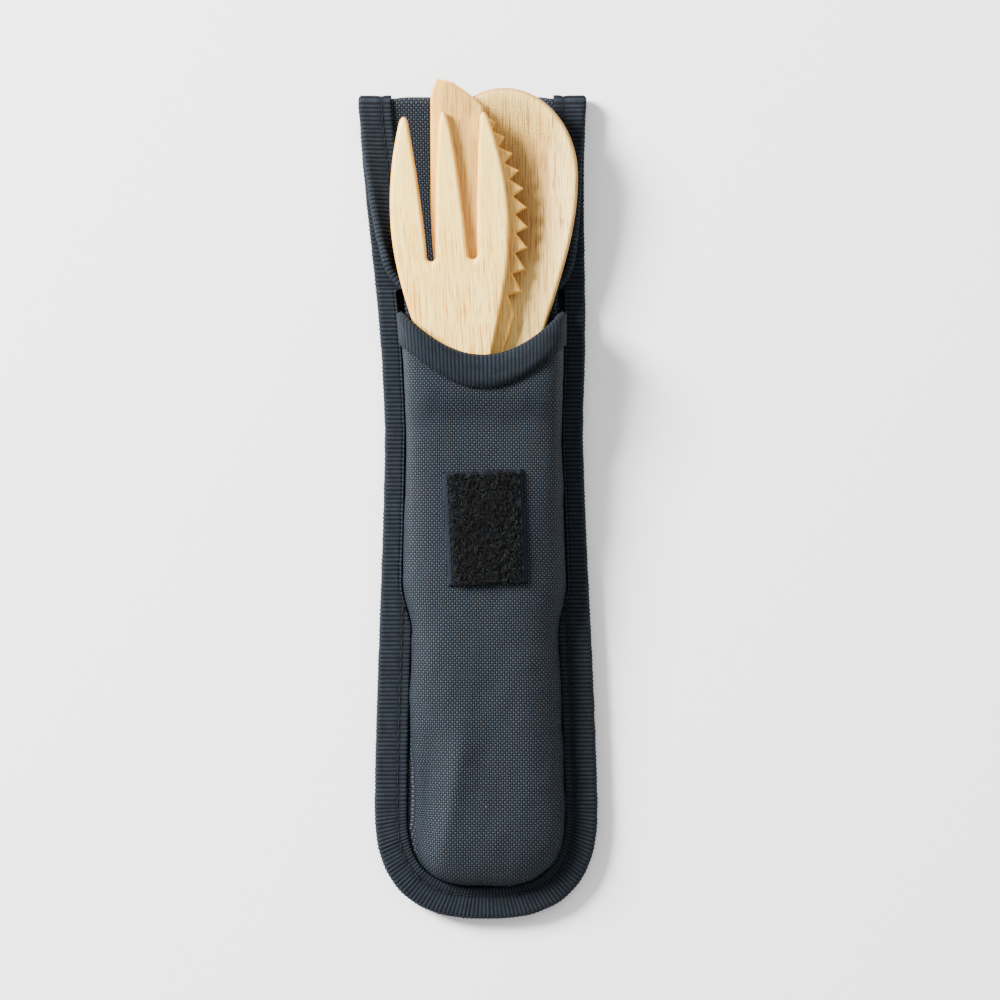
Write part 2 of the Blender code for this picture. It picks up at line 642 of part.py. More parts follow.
def knife_outline():
    """Spine, tip, toothed belly, heel and handle, anticlockwise from the butt."""
    length = KNIFE_TIP_Y - KNIFE_BUTT_Y
    right = []
    for s in np.linspace(length, length - BUTT_HALF, 7):
        right.append((BUTT_HALF * handle_end(s, length), KNIFE_TIP_Y - s))
    for y in np.linspace(-60, 30, 5) * MM:
        right.append((HANDLE_HALF + handle_swell(KNIFE_TIP_Y - y, length), y))
    right += [(HANDLE_HALF + 0.5 * MM, HEEL_Y - 3 * MM), (HANDLE_HALF + 1.6 * MM, HEEL_Y)]
    tips = [TOOTH_TOP_Y - TOOTH_PITCH * k - TOOTH_GROWTH * k * k for k in range(TEETH)]
    for k in range(TEETH - 1, 0, -1):
        notch = (tips[k] + tips[k - 1]) / 2 + max(NOTCH_LEAST, NOTCH_START + NOTCH_SHIFT * k)
        depth = TOOTH_DEPTH * min(1.0, 0.35 + 0.2 * k)
        right += [(belly(tips[k]), tips[k]), (belly(notch) - depth, notch)]
    right.append((belly(tips[0]), tips[0]))
    right += [(belly(y * MM), y * MM) for y in (100.0, 102.0, 103.8)]
    right.append((-SPINE_HALF + 1.6 * MM, KNIFE_TIP_Y))
    left = [(-SPINE_HALF + 0.5 * MM, KNIFE_TIP_Y - 1 * MM), (-SPINE_HALF, KNIFE_TIP_Y - 8 * MM)]
    for s in np.concatenate([np.linspace(26, 100, 10) * MM, np.linspace(130 * MM, length - 8 * MM, 4)]):
        side = narrowing(s, 30 * MM, 66 * MM, SPINE_HALF, HANDLE_HALF) + handle_swell(s, length)
        left.append((-side, KNIFE_TIP_Y - s))
    for s in np.linspace(length - BUTT_HALF, length, 7)[:-1]:
        left.append((-BUTT_HALF * handle_end(s, length), KNIFE_TIP_Y - s))
    return right + left


def knife(coat, collection, stack):
    """The toothed knife, flat, above the spoon."""
    outline = [(x, y - STACK_BUTT_Y) for x, y in knife_outline()]
    level = SPOON_THICK + GAP + KNIFE_THICK / 2
    return plate("knife", outline, KNIFE_THICK, coat, collection, stack, (KNIFE_X, 0.0, level), 0.0)


def fork_half(s):
    """Half width of the fork's outside, s from the tips."""
    head = FORK_HALF - (FORK_HALF - FORK_TIP_HALF) * max(0.0, 1 - s / FORK_WIDEST) ** 2
    shaft = narrowing(s, FORK_WIDEST, FORK_NECK, FORK_HALF, HANDLE_HALF)
    return head if s < FORK_WIDEST else shaft + handle_swell(s, FORK_LENGTH)


def fork_outline():
    """Half the outline from the butt to the middle tine's tip, then its mirror image."""
    half = []
    for s in np.linspace(FORK_LENGTH, FORK_LENGTH - BUTT_HALF, 7)[:-1]:
        half.append((fork_half(s) * handle_end(s, FORK_LENGTH), -s))
    sides = [np.linspace(FORK_LENGTH - BUTT_HALF, 90 * MM, 5), np.linspace(82, 3, 18) * MM]
    for s in np.concatenate(sides):
        half.append((fork_half(s), -s))
    tip_outer = FORK_TIP_HALF - 0.1 * MM
    half += [(tip_outer, -1.4 * MM), (tip_outer - 0.7 * MM, -0.9 * MM)]
    for s in np.linspace(2.2 * MM, SLOT_DEPTH, 11):
        half.append((SLOT_OUTER + SLOT_FLARE * (1 - s / SLOT_DEPTH) ** 1.5, -s))
    slot = (SLOT_OUTER - SLOT_INNER) / 2
    for angle in np.linspace(0.0, pi, 7)[1:-1]:
        half.append((SLOT_INNER + slot + slot * np.cos(angle), -SLOT_DEPTH - slot * np.sin(angle)))
    for s in np.linspace(SLOT_DEPTH, 2.0 * MM, 11):
        half.append((SLOT_INNER * (s / SLOT_DEPTH) ** 0.45, -s))
    half.append((0.55 * MM, -0.4 * MM))
    return half[1:] + [(-x, y) for x, y in half[::-1]]


def fork(coat, collection, stack):
    """The fork, flat, on top of the stack."""
    level = SPOON_THICK + KNIFE_THICK + 2 * GAP + FORK_THICK / 2
    place = (FORK_TIP[0], FORK_TIP[1] - STACK_BUTT_Y, level)
    return plate("fork", fork_outline(), FORK_THICK, coat, collection, stack, place, FORK_TURN)


def cutlery_stack(collection):
    """The empty that carries the cutlery, tilted as the stack lies in the pouch."""
    stack = bpy.data.objects.new("cutlery_stack", None)
    collection.objects.link(stack)
    stack.location = (0.0, STACK_BUTT_Y, STACK_BUTT_Z)
    stack.rotation_euler = (atan(STACK_SLOPE), 0.0, 0.0)
    return stack


def main():
    clear_scene()
    pack = bpy.data.collections.new("wooden_cutlery_pack")
    bpy.context.scene.collection.children.link(pack)
    panel = material("panel_fabric", (0.045, 0.055, 0.07), 0.85)
    tape = material("binding_tape", (0.02, 0.028, 0.038), 0.8)
    loops = material("loop_pile", (0.008, 0.008, 0.009), 0.95)
    hooks = material("hook_tape", (0.012, 0.013, 0.015), 0.7)
    pale = material("pale_bamboo", (0.91, 0.77, 0.54), 0.55)
    tan = material("tan_bamboo", (0.75, 0.55, 0.32), 0.55)
    honey = material("honey_bamboo", (0.82, 0.65, 0.41), 0.55)
    back_panel_and_flap(panel, pack)
    front_panel(panel, pack)
    edge_binding(tape, pack)
    mouth_binding(tape, pack)
    loop_patch(loops, pack)
    hook_patch(hooks, pack)
    stack = cutlery_stack(pack)
    spoon(honey, pack, stack)
    knife(tan, pack, stack)
    fork(pale, pack, stack)


main()
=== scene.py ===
# %% [markdown]
# # A wooden cutlery pack
#
# A sewn pouch of dark polyester cloth lies on its back with a bamboo fork, knife and spoon in it.
# The pouch is one long sheet and one short one. The long sheet is the back, turns over at the top
# and is tucked into the mouth as a flap; the short one is the arched front. A folded grosgrain tape
# binds them all round. The plain CAD model is loaded first. It stays as the frame that every new
# piece is built around, and each new surface repeats the shape of the piece that it stands for.

# %% Load the frame
from math import atan, pi, radians
import bmesh
import bpy
import numpy as np
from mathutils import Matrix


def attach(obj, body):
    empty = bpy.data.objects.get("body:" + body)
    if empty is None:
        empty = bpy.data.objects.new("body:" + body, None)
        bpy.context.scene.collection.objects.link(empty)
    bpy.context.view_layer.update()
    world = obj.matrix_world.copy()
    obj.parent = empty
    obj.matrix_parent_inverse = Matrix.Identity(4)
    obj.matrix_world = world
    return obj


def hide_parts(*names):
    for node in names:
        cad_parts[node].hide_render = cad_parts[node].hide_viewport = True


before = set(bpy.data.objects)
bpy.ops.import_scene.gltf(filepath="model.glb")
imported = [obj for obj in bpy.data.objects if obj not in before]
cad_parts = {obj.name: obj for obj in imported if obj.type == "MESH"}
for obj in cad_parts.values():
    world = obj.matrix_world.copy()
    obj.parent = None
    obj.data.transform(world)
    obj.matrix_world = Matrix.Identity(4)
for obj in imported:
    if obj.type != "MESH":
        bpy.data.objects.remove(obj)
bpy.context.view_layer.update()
MM = 0.001
chance = np.random.default_rng(7)
print("nodes:", sorted(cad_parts))

# %% [markdown]
# ## Meshes from arrays
#
# Every new surface is a function of two parameters, worked out for a whole grid of points at once.
# Two helpers turn such arrays into meshes. Texture coordinates are kept in metres along the cloth
# or the wood, so that a pattern has its real size wherever the surface bends.

# %% Mesh helpers


def make_mesh(name, points, faces, coat, uv=None, layers=None, weld=False):
    """An object from points (n, 3) and four-sided faces (m, 4), with numbers per point in layers."""
    data = bpy.data.meshes.new(name)
    data.vertices.add(len(points))
    data.vertices.foreach_set("co", points.astype(np.float32).ravel())
    data.loops.add(faces.size)
    data.loops.foreach_set("vertex_index", faces.astype(np.int32).ravel())
    data.polygons.add(len(faces))
    data.polygons.foreach_set("loop_start", np.arange(0, faces.size, 4, dtype=np.int32))
    data.update(calc_edges=True)
    if uv is not None:
        corners = uv[faces.ravel()].astype(np.float32)
        data.uv_layers.new(name="UVMap").data.foreach_set("uv", corners.ravel())
    for key, values in (layers or {}).items():
        layer = data.attributes.new(key, "FLOAT", "POINT")
        layer.data.foreach_set("value", values.astype(np.float32).ravel())
    if weld:
        mesh = bmesh.new()
        mesh.from_mesh(data)
        bmesh.ops.remove_doubles(mesh, verts=mesh.verts, dist=1e-6)
        bmesh.ops.dissolve_degenerate(mesh, edges=mesh.edges, dist=1e-7)
        bmesh.ops.recalc_face_normals(mesh, faces=mesh.faces)
        mesh.to_mesh(data)
        mesh.free()
    data.shade_smooth()
    data.materials.append(coat)
    item = bpy.data.objects.new(name, data)
    bpy.context.scene.collection.objects.link(item)
    print(name, len(data.vertices), "points")
    return item


def grid_faces(rows, columns, first=0, closed=False):
    """Faces between neighbours of a grid numbered row by row.

    With closed, the last column is joined to the first.
    """
    r = np.arange(rows - 1)[:, None]
    c = np.arange(columns if closed else columns - 1)[None, :]
    after = (c + 1) % columns
    this, below = r * columns, (r + 1) * columns
    corners = [this + c, this + after, below + after, below + c]
    return first + np.stack(corners, axis=-1).reshape(-1, 4)


def surface(name, points, coat, uv, layers=None, closed=False):
    """One grid of points[row, column] as a welded mesh."""
    faces = grid_faces(*points.shape[:2], closed=closed)
    return make_mesh(name, points.reshape(-1, 3), faces, coat, uv.reshape(-1, 2), layers, weld=True)


def tubes(name, lines, radii, coat, layers=None):
    """Many short threads as one mesh: a four-sided tube round each line of points[thread, place].

    A ring is its place plus the radius times cos and sin of quarter turns, along two directions
    square to the line. Each tube is closed by one face at either end.
    """
    count, places = lines.shape[:2]
    ahead = np.gradient(lines, axis=1)
    ahead /= np.linalg.norm(ahead, axis=2, keepdims=True)
    aside = np.cross(ahead, [0.31, 0.17, 0.94])
    aside /= np.linalg.norm(aside, axis=2, keepdims=True)
    above = np.cross(aside, ahead)
    turn = (np.arange(4) * pi / 2)[None, None, :, None]
    ring = aside[:, :, None] * np.cos(turn) + above[:, :, None] * np.sin(turn)
    points = lines[:, :, None] + radii[None, :, None, None] * ring
    sides = grid_faces(places, 4, closed=True)[:, ::-1]
    caps = np.array([[0, 1, 2, 3], np.arange(4)[::-1] + (places - 1) * 4])
    one = np.concatenate([sides, caps])
    faces = (one[None] + np.arange(count)[:, None, None] * places * 4).reshape(-1, 4)
    spread = {key: np.repeat(values, places * 4) for key, values in (layers or {}).items()}
    return make_mesh(name, points.reshape(-1, 3), faces, coat, layers=spread)


def unit(vectors):
    """Vectors made one metre long."""
    return vectors / np.maximum(np.linalg.norm(vectors, axis=-1, keepdims=True), 1e-12)


def smooth(t):
    """0 below 0, 1 above 1, and a soft S between."""
    t = np.clip(t, 0.0, 1.0)
    return t * t * (3.0 - 2.0 * t)


WAVES = 9


def ripple(x, y, size, seed):
    """A gentle irregular field from about -1 to 1: a sum of sine waves of about the given length."""
    draw = np.random.default_rng(seed)
    total = np.zeros(np.broadcast(x, y).shape)
    angles = draw.uniform(0, pi, WAVES)
    phases = draw.uniform(0, 2 * pi, WAVES)
    stretches = draw.uniform(0.6, 1.6, WAVES)
    for angle, phase, stretch in zip(angles, phases, stretches):
        along = x * np.cos(angle) + y * np.sin(angle)
        total = total + np.sin(2 * pi * along / (size * stretch) + phase)
    return total / (WAVES / 2)


# %% [markdown]
# ## Shader maths
#
# A material is a small network. Written out node by node it is hard to read, so one class wraps an
# output: adding or multiplying two of them adds the Math node. The coat class makes any other node
# from its type, its settings and its inputs.

# %% Shader helpers


class Wire:
    """One output of a node. Arithmetic on it adds a Math node."""

    def __init__(self, coat, socket):
        self.coat, self.socket = coat, socket

    def maths(self, operation, *values):
        return self.coat.node("ShaderNodeMath", {"operation": operation}, dict(enumerate(values)))

    def __add__(self, other):
        return self.maths("ADD", self, other)

    def __sub__(self, other):
        return self.maths("SUBTRACT", self, other)

    def __rsub__(self, other):
        return self.maths("SUBTRACT", other, self)

    def __mul__(self, other):
        return self.maths("MULTIPLY", self, other)

    def __truediv__(self, other):
        return self.maths("DIVIDE", self, other)

    def __pow__(self, other):
        return self.maths("POWER", self, other)

    __radd__ = __add__
    __rmul__ = __mul__

    def sine(self):
        return self.maths("SINE", self)

    def cosine(self):
        return self.maths("COSINE", self)

    def floor(self):
        return self.maths("FLOOR", self)

    def size(self):
        return self.maths("ABSOLUTE", self)

    def larger(self, other):
        return self.maths("MAXIMUM", self, other)

    def step(self, low, high):
        """0 below low, 1 above high, smooth between."""
        values = {"Value": self, "From Min": low, "From Max": high}
        return self.coat.node("ShaderNodeMapRange", {"interpolation_type": "SMOOTHSTEP"}, values)


class Coat:
    """A material and the Principled shader that its values end in."""

    def __init__(self, name, **constants):
        self.material = bpy.data.materials.new(name)
        self.material.use_nodes = True
        self.tree = self.material.node_tree
        self.shader = self.tree.nodes["Principled BSDF"]
        for key, value in constants.items():
            self.shader.inputs[key.replace("_", " ")].default_value = value

    def put(self, socket, value):
        if isinstance(value, Wire):
            self.tree.links.new(value.socket, socket)
        else:
            socket.default_value = value

    def node(self, kind, settings=None, values=None, output=0):
        made = self.tree.nodes.new(kind)
        for key, value in (settings or {}).items():
            setattr(made, key, value)
        for key, value in (values or {}).items():
            self.put(made.inputs[key], value)
        return Wire(self, made.outputs[output])

    def mix(self, factor, low, high):
        """The colour low where factor is 0 and high where it is 1."""
        return self.node("ShaderNodeMix", {"data_type": "RGBA"}, {0: factor, 6: low, 7: high}, 2)

    def read(self, name):
        """A number per point that the mesh carries."""
        return self.node("ShaderNodeAttribute", {"attribute_name": name}, output="Fac")

    def uv(self):
        """The two texture coordinates, in metres."""
        both = self.node("ShaderNodeUVMap", {"uv_map": "UVMap"})
        return [self.node("ShaderNodeSeparateXYZ", values={0: both}, output=k) for k in (0, 1)]

    def place(self):
        """The piece's own x and y, in metres."""
        both = self.node("ShaderNodeTexCoord", output="Object")
        return [self.node("ShaderNodeSeparateXYZ", values={0: both}, output=k) for k in (0, 1)]

    def noise(self, x, y, z=0.0, detail=2.0, roughness=0.5):
        """Smooth noise from 0 to 1 whose lumps are about one unit of x, y and z."""
        place = self.node("ShaderNodeCombineXYZ", values={0: x, 1: y, 2: z})
        values = {"Vector": place, "Scale": 1.0, "Detail": detail, "Roughness": roughness}
        return self.node("ShaderNodeTexNoise", values=values)

    def finish(self, colour, roughness, height, depth):
        """Link the colour, the roughness and a Bump node whose height is in units of depth metres."""
        self.put(self.shader.inputs["Base Color"], colour)
        self.put(self.shader.inputs["Roughness"], roughness)
        bump = self.node("ShaderNodeBump", values={"Height": height, "Distance": depth})
        self.put(self.shader.inputs["Normal"], bump)
        return self.material


def tone(red, green, blue):
    """A colour as the eye reads it, 0 to 255, as linear light."""
    share = np.array([red, green, blue]) / 255
    linear = np.where(share > 0.04045, ((share + 0.055) / 1.055) ** 2.4, share / 12.92)
    return (*[float(part) for part in linear], 1.0)


# %% [markdown]
# ## The cloth's finish
#
# The cloth is a heavy plain weave of filament yarn. Warp and weft take turns on top, and the gaps
# between the yarns are painted almost black as shade. The warp's floats get a painted highlight,
# stronger than the weft's, which gives the cloth its checked look. The weave is two sets of rounded
# threads: the warp is on top where a cosine along it is high, the weft where its own cosine is high,
# and the cloth's height is the larger of the two.

# %% Woven cloth
YARN = 0.59 * MM
WANDER = 0.5 * MM
CLOTH_BUMP = 0.2 * MM


def plain_weave(u, v):
    """Heights of the warp and the weft, 0 to 1, at places counted in yarns."""
    warp_round = (u * pi).sine().size() ** 0.6
    weft_round = (v * pi).sine().size() ** 0.6
    warp = warp_round * ((v - 0.5 + u.floor()) * pi).cosine().step(-0.9, 1.0)
    weft = weft_round * ((u + 0.5 + v.floor()) * pi).cosine().step(-0.9, 1.0)
    return warp, weft


def cloth_finish(name, gap, yarn, float_highlight):
    """Plain weave: painted shade in the gaps, slate yarns, and painted highlights on the floats."""
    coat = Coat(name, Specular_IOR_Level=0.12)
    u, v = coat.uv()
    wander = coat.noise(u * 260, v * 260)
    drift = coat.noise(u * 260, v * 260, 9.0)
    warp, weft = plain_weave((u + wander * WANDER) / YARN, (v + drift * WANDER) / YARN)
    height = warp.larger(weft)
    fibre = coat.noise(u * 9000, v * 9000, detail=3.0)
    patch = coat.noise(u * 900, v * 900, 4.0, detail=3.0)
    # Painted highlight: the floats' crowns are mixed toward the highlight colour, the warp's more
    # than the weft's.
    floats = warp.step(0.5, 0.95) + 0.22 * weft.step(0.6, 1.0)
    lit = floats * (0.3 + 0.9 * fibre) * (0.5 + patch)
    # Painted shade: the gaps between the yarns take the near-black gap colour.
    body = coat.mix(height.step(0.2, 0.7), gap, yarn)
    colour = coat.mix(lit, body, float_highlight)
    return coat.finish(colour, 0.6 - 0.14 * lit, height + 0.12 * fibre, CLOTH_BUMP)


# The gaps' painted shade, the slate yarn, and the floats' painted highlight.
panel_fabric = cloth_finish("panel_fabric", tone(3, 4, 7), tone(11, 15, 20), tone(56, 66, 77))

# %% [markdown]
# ## The tape's finish
#
# Grosgrain has thick weft ribs across it, covered by fine warp. The ribs are in the mesh. The finish
# adds the fine warp as lines along the tape, painted shade in the grooves between the ribs and along
# the stitch line, a painted highlight on the rib tops, and fuzz.

# %% Grosgrain
WARP_LINE = 0.27 * MM
TAPE_BUMP = 0.09 * MM


def tape_finish():
    """Fine lines along the tape, painted shade in the grooves and a painted highlight on the rib
    tops.
    """
    coat = Coat("binding_tape", Specular_IOR_Level=0.1)
    along, across = coat.uv()
    rib = coat.read("rib")
    wobble = 2.0 * coat.noise(along * 700, across * 300)
    line = (across * (2 * pi / WARP_LINE) + wobble).sine()
    fuzz = coat.noise(along * 5200, across * 7000, detail=4.0, roughness=0.65)
    sheen_patches = coat.noise(along * 300, across * 500, 5.0)
    # Painted shade: the grooves between the ribs are darker than the rib tops.
    groove = coat.mix(rib.step(0.0, 0.8), tone(5, 7, 11), tone(14, 18, 24))
    # Painted highlight on the rib tops, stronger in some patches than in others.
    lit = rib.step(0.35, 1.0) * fuzz.step(0.35, 0.7) * (0.15 + 0.75 * sheen_patches)
    lighter = coat.mix(lit, groove, tone(56, 66, 76))
    # Painted shade along the groove of the stitch line.
    stitch_shade = coat.mix(coat.read("stitch_shade") * 0.8, lighter, tone(4, 6, 8))
    return coat.finish(stitch_shade, 0.78 - 0.1 * fuzz, 0.35 * line + 1.3 * fuzz, TAPE_BUMP)


binding_tape = tape_finish()

# %% [markdown]
# ## Bamboo
#
# Bamboo is made of long fibre bundles. On a flat face they are fine streaks a few tenths of a
# millimetre wide and up to some centimetres long. Where a face cuts across them, as at the end of
# the spoon's hollow, they are dots. Streaks are noise squeezed along the piece; dots are noise that
# isn't. A sanded edge shows a thin darker line, which reads the distance to the edge.
# A layer of painted light and shade mixes in the edge colour too: shade in the spoon's hollow, a
# highlight on the knife's spine.

# %% Bamboo finishes
GRAIN_BUMP = 0.035 * MM
GRAIN_BEND = 0.9 * MM


def bamboo_finish(name, body, streak, pale, edge, strength):
    """Streaked bamboo from the coordinates on the board, its edge layer and its painted light and
    shade.

    Fine streaks come from narrow noise above a threshold, broad bands from wide noise.
    """
    coat = Coat(name, Specular_IOR_Level=0.35)
    x, y = coat.uv()
    bend = x + coat.noise(x * 60, y * 18, 3.0) * GRAIN_BEND
    fine = coat.noise(bend * 3300, y * 75, detail=3.0, roughness=0.6)
    dash = coat.noise(bend * 4200, y * 190, 7.0, detail=2.0)
    broad = coat.noise(bend * 420, y * 14, 2.0, detail=3.0)
    lower = coat.read("lower")
    streaks = fine.step(0.47, 0.66) * 0.8 + dash.step(0.54, 0.66) * 0.6
    marks = streaks * (0.4 + 0.6 * lower) * strength
    tint = coat.mix(broad.step(0.3, 0.7), pale, body)
    grained = coat.mix(marks, tint, streak)
    dots = coat.noise(x * 2600, y * 2600, detail=2.0).step(0.55, 0.7)
    dotted = coat.mix(coat.read("speckle") * dots, grained, streak)
    # Painted light and shade: the layer mixes in the edge colour, as shade in the spoon's hollow and
    # as a highlight along the knife's spine.
    shaded = coat.mix(coat.read("light_and_shade"), dotted, edge)
    rim = 1 - coat.read("edge").step(0.05, 0.55)
    rimmed = coat.mix(rim * 0.75, shaded, edge)
    return coat.finish(rimmed, 0.48 + 0.14 * fine, fine * 0.6 + dash * 0.4, GRAIN_BUMP)


# The edge colour is both the thin line at the edge and the colour of the painted light and shade.
pale_bamboo = bamboo_finish("pale_bamboo", body=tone(255, 212, 104), streak=tone(206, 128, 24),
                            pale=tone(255, 228, 132), edge=tone(214, 146, 40), strength=1.15)
tan_bamboo = bamboo_finish("tan_bamboo", body=tone(200, 152, 70), streak=tone(142, 92, 32),
                           pale=tone(220, 178, 92), edge=tone(224, 158, 46), strength=1.0)
honey_bamboo = bamboo_finish("honey_bamboo", body=tone(236, 190, 94), streak=tone(124, 78, 26),
                             pale=tone(246, 214, 128), edge=tone(140, 90, 38), strength=1.0)

# %% [markdown]
# ## The pouch's plan and heights
#
# These are the shapes that the pieces share: the pouch's half width and middle line, how high the
# side seams lie, and the front's arch. They repeat the CAD model's, so that tape, cloth and thread
# meet where the CAD pieces do.

# %% Shared shapes
CLOTH, TAPE, TAPE_WIDTH, SEAM = 0.7 * MM, 0.45 * MM, 7.5 * MM, 5.0 * MM
GAP = 0.3 * MM
WRAP = CLOTH / 2 + GAP + TAPE / 2
REACH = GAP + TAPE / 2
FOLD_Y, NECK_Y, HIP_Y, BOTTOM_Y = 99.0 * MM, 17.4 * MM, -76.6 * MM, -104.4 * MM
FOLD_HALF, NECK_HALF, HIP_HALF = 27.8 * MM, 24.1 * MM, 27.2 * MM
ROUND = 2.6
LOW_CENTRE, TOP_CENTRE = 1.2 * MM, -1.2 * MM
LEAN_FROM, LEAN_TO, LOW_LEAN = 30.0 * MM, 95.0 * MM, 0.006
BACK_Z, FLAP_Z = CLOTH / 2, 3.75 * MM
SIDE_LIFT, TOP_LIFT, LIFT_RAMP, LAYER_STEP = 1.55 * MM, 0.8 * MM, 4.0 * MM, CLOTH + GAP
MOUTH_MID_Y, MOUTH_RISE, MOUTH_REACH, CORNER_Y = 35.3 * MM, 15.0 * MM, 23.0 * MM, 52.2 * MM
LOW_INSET = 7.8 * MM
CROWN_MOUTH, CROWN_HIP, MOUTH_LIFT = 14.9 * MM, 11.6 * MM, 1.8 * MM
ARCH_LOW, ARCH_MOUTH = 3.0, 6.0
UP = np.array([0.0, 0.0, 1.0])


def half_width(y):
    """Half the pouch's width: a power up to the fold, a swell down to the hips."""
    up = np.clip((y - NECK_Y) / (FOLD_Y - NECK_Y), 0.0, 1.0)
    down = np.clip((NECK_Y - y) / (NECK_Y - HIP_Y), 0.0, 1.0)
    swell = 0.4 * down + 0.6 * smooth(down)
    return NECK_HALF + (FOLD_HALF - NECK_HALF) * up ** 1.15 + (HIP_HALF - NECK_HALF) * swell


def centre(y):
    """The pouch's middle line, which leans a little to one side."""
    lean = smooth((y - LEAN_FROM) / (LEAN_TO - LEAN_FROM))
    drift = LOW_LEAN * (NECK_Y - np.maximum(y, HIP_Y))
    return LOW_CENTRE + (TOP_CENTRE - LOW_CENTRE) * lean + drift


def side_lift(y):
    """How far the side seams are drawn up off the back."""
    return TOP_LIFT + (SIDE_LIFT - TOP_LIFT) * smooth((CORNER_Y - y) / (8 * MM))


def back_height(inset, y):
    """Height of the back panel's middle surface at a distance in from its edge."""
    return BACK_Z + side_lift(y) * (1.0 - smooth((inset - TAPE_WIDTH) / LIFT_RAMP))


def crown(y):
    """Height of the front's crown: a straight climb to the mouth, and a lift under its tape."""
    along = np.clip((y - HIP_Y) / (MOUTH_MID_Y - HIP_Y), 0.0, 1.0)
    lift = MOUTH_LIFT * smooth((y - 18 * MM) / (10 * MM))
    return CROWN_HIP + (CROWN_MOUTH - CROWN_HIP) * along + lift


def arch_power(y):
    """Exponent of the arch, squarer near the mouth."""
    return ARCH_LOW + (ARCH_MOUTH - ARCH_LOW) * smooth((y + 20 * MM) / (50 * MM))


def arch_inset(y):
    """How far in from the outer edge the arch starts."""
    return SEAM + (LOW_INSET - SEAM) * smooth((-20 * MM - y) / (14 * MM))


def front_base(y):
    """Height of the front panel at the side seams."""
    return BACK_Z + side_lift(y) + LAYER_STEP


def arch(x, y, dx, dy, angle):
    """A point of the arch over the ray from the spine (x, y) to the edge (x + dx, y + dy).

    The share of the ray is cos(angle)^(2/p) and the share of the rise is sin(angle)^(2/p).
    """
    power = 2 / arch_power(y)
    share = (1.0 - arch_inset(y) / np.hypot(dx, dy)) * np.cos(angle) ** power
    base = front_base(y)
    height = base + (crown(y) - base) * np.sin(angle) ** power
    return np.stack(np.broadcast_arrays(x + dx * share, y + dy * share, height), axis=-1)


def mouth_y(offset):
    """The mouth's edge in plan, a parabola that ends at the side seams' corner."""
    return np.minimum(MOUTH_MID_Y + MOUTH_RISE * (offset / MOUTH_REACH) ** 2, CORNER_Y - 0.6 * MM)


def bottom_rays(angle):
    """Spine and edge of the rays round the bottom, a superellipse: (x, y, dx, dy)."""
    dx = HIP_HALF * np.clip(np.cos(angle), 0.0, 1.0) ** (2 / ROUND)
    dy = (BOTTOM_Y - HIP_Y) * np.sin(angle) ** (2 / ROUND)
    return np.full_like(dx, centre(HIP_Y)), np.full_like(dx, HIP_Y), dx, dy


def side_rays(y):
    """Spine and edge of the rays straight across the pouch."""
    return centre(y), y, half_width(y), np.zeros_like(y)


def run_of(points, axis=0):
    """Distance along a line of points, from 0 at its start."""
    steps = np.linalg.norm(np.diff(points, axis=axis), axis=-1)
    zero = np.zeros_like(np.take(steps, [0], axis=axis))
    return np.concatenate([zero, np.cumsum(steps, axis=axis)], axis=axis)


print("mouth crown", crown(MOUTH_MID_Y) / MM, "mm")

# %% [markdown]
# ## The front panel
#
# A flat piece of cloth sewn to the back along its sides and held up by the cutlery. A cloth
# simulation could drop it over the stack, but its edge has to meet the tape's seam to a tenth of a
# millimetre, so the shape is worked out directly: a superellipse across, higher and squarer at the
# mouth, then the creases that the sewing and the cutlery leave. A hollow and a soft ridge lie low
# on the left, where nothing fills the pouch, and short puckers run in from the seam.

# %% Front panel surface


ARCH_STEPS, BOTTOM_ROWS, SIDE_ROWS = 38, 40, 170
MARGIN_SHARES = np.array([1.0, 0.65, 0.3])


def front_halves(count):
    """Angles from the seam to the middle, spaced evenly along a typical arch."""
    fine = np.linspace(0.0, 1.0, 2000) ** 2 * pi / 2
    across = (HIP_HALF - SEAM) * np.cos(fine) ** (2 / 4)
    rise = (CROWN_HIP - 2 * MM) * np.sin(fine) ** (2 / 4)
    run = run_of(np.stack([across, rise], axis=-1))
    return np.interp(np.linspace(0.0, run[-1], count + 1), run, fine)


def front_grid():
    """Right half of the front's middle surface [row, column], its rays, and its run from the middle.

    The first columns are the flat margin in the seam: MARGIN_SHARES of its width out from the arch.
    """
    arched = front_halves(ARCH_STEPS)
    margin = len(MARGIN_SHARES)
    columns = margin + len(arched)
    angle = np.concatenate([np.zeros(margin), arched])
    inside = np.concatenate([MARGIN_SHARES, np.zeros(len(arched))])
    turn = np.linspace(pi / 2, 0.0, BOTTOM_ROWS + 1)[:-1][:, None]
    fan = [np.broadcast_to(part, (BOTTOM_ROWS, columns)) for part in bottom_rays(turn)]
    step = np.linspace(0.0, 1.0, SIDE_ROWS)[:, None]
    offset = (half_width(MOUTH_MID_Y) - SEAM) * np.cos(angle) ** (2 / ARCH_MOUTH)
    y = HIP_Y + step * (mouth_y(offset)[None] - HIP_Y)
    sides = side_rays(y)
    x, y, dx, dy = [np.concatenate([a, b]) for a, b in zip(fan, sides)]
    on_arch = arch(x, y, dx, dy, np.broadcast_to(angle, x.shape))
    share = 1 - (1 - inside) * arch_inset(y) / np.hypot(dx, dy)
    flat = np.stack([x + dx * share, y + dy * share, front_base(y)], axis=-1)
    half = np.where((np.arange(columns) < margin)[None, :, None], flat, on_arch)
    spread = run_of(half[:, ::-1], axis=1)[:, ::-1]
    return half, x, y, dx, dy, spread


def mirrored(half, x):
    """The other half of the pouch: each point reflected in the middle line."""
    other = half.copy()
    other[..., 0] = 2 * x - half[..., 0]
    return other


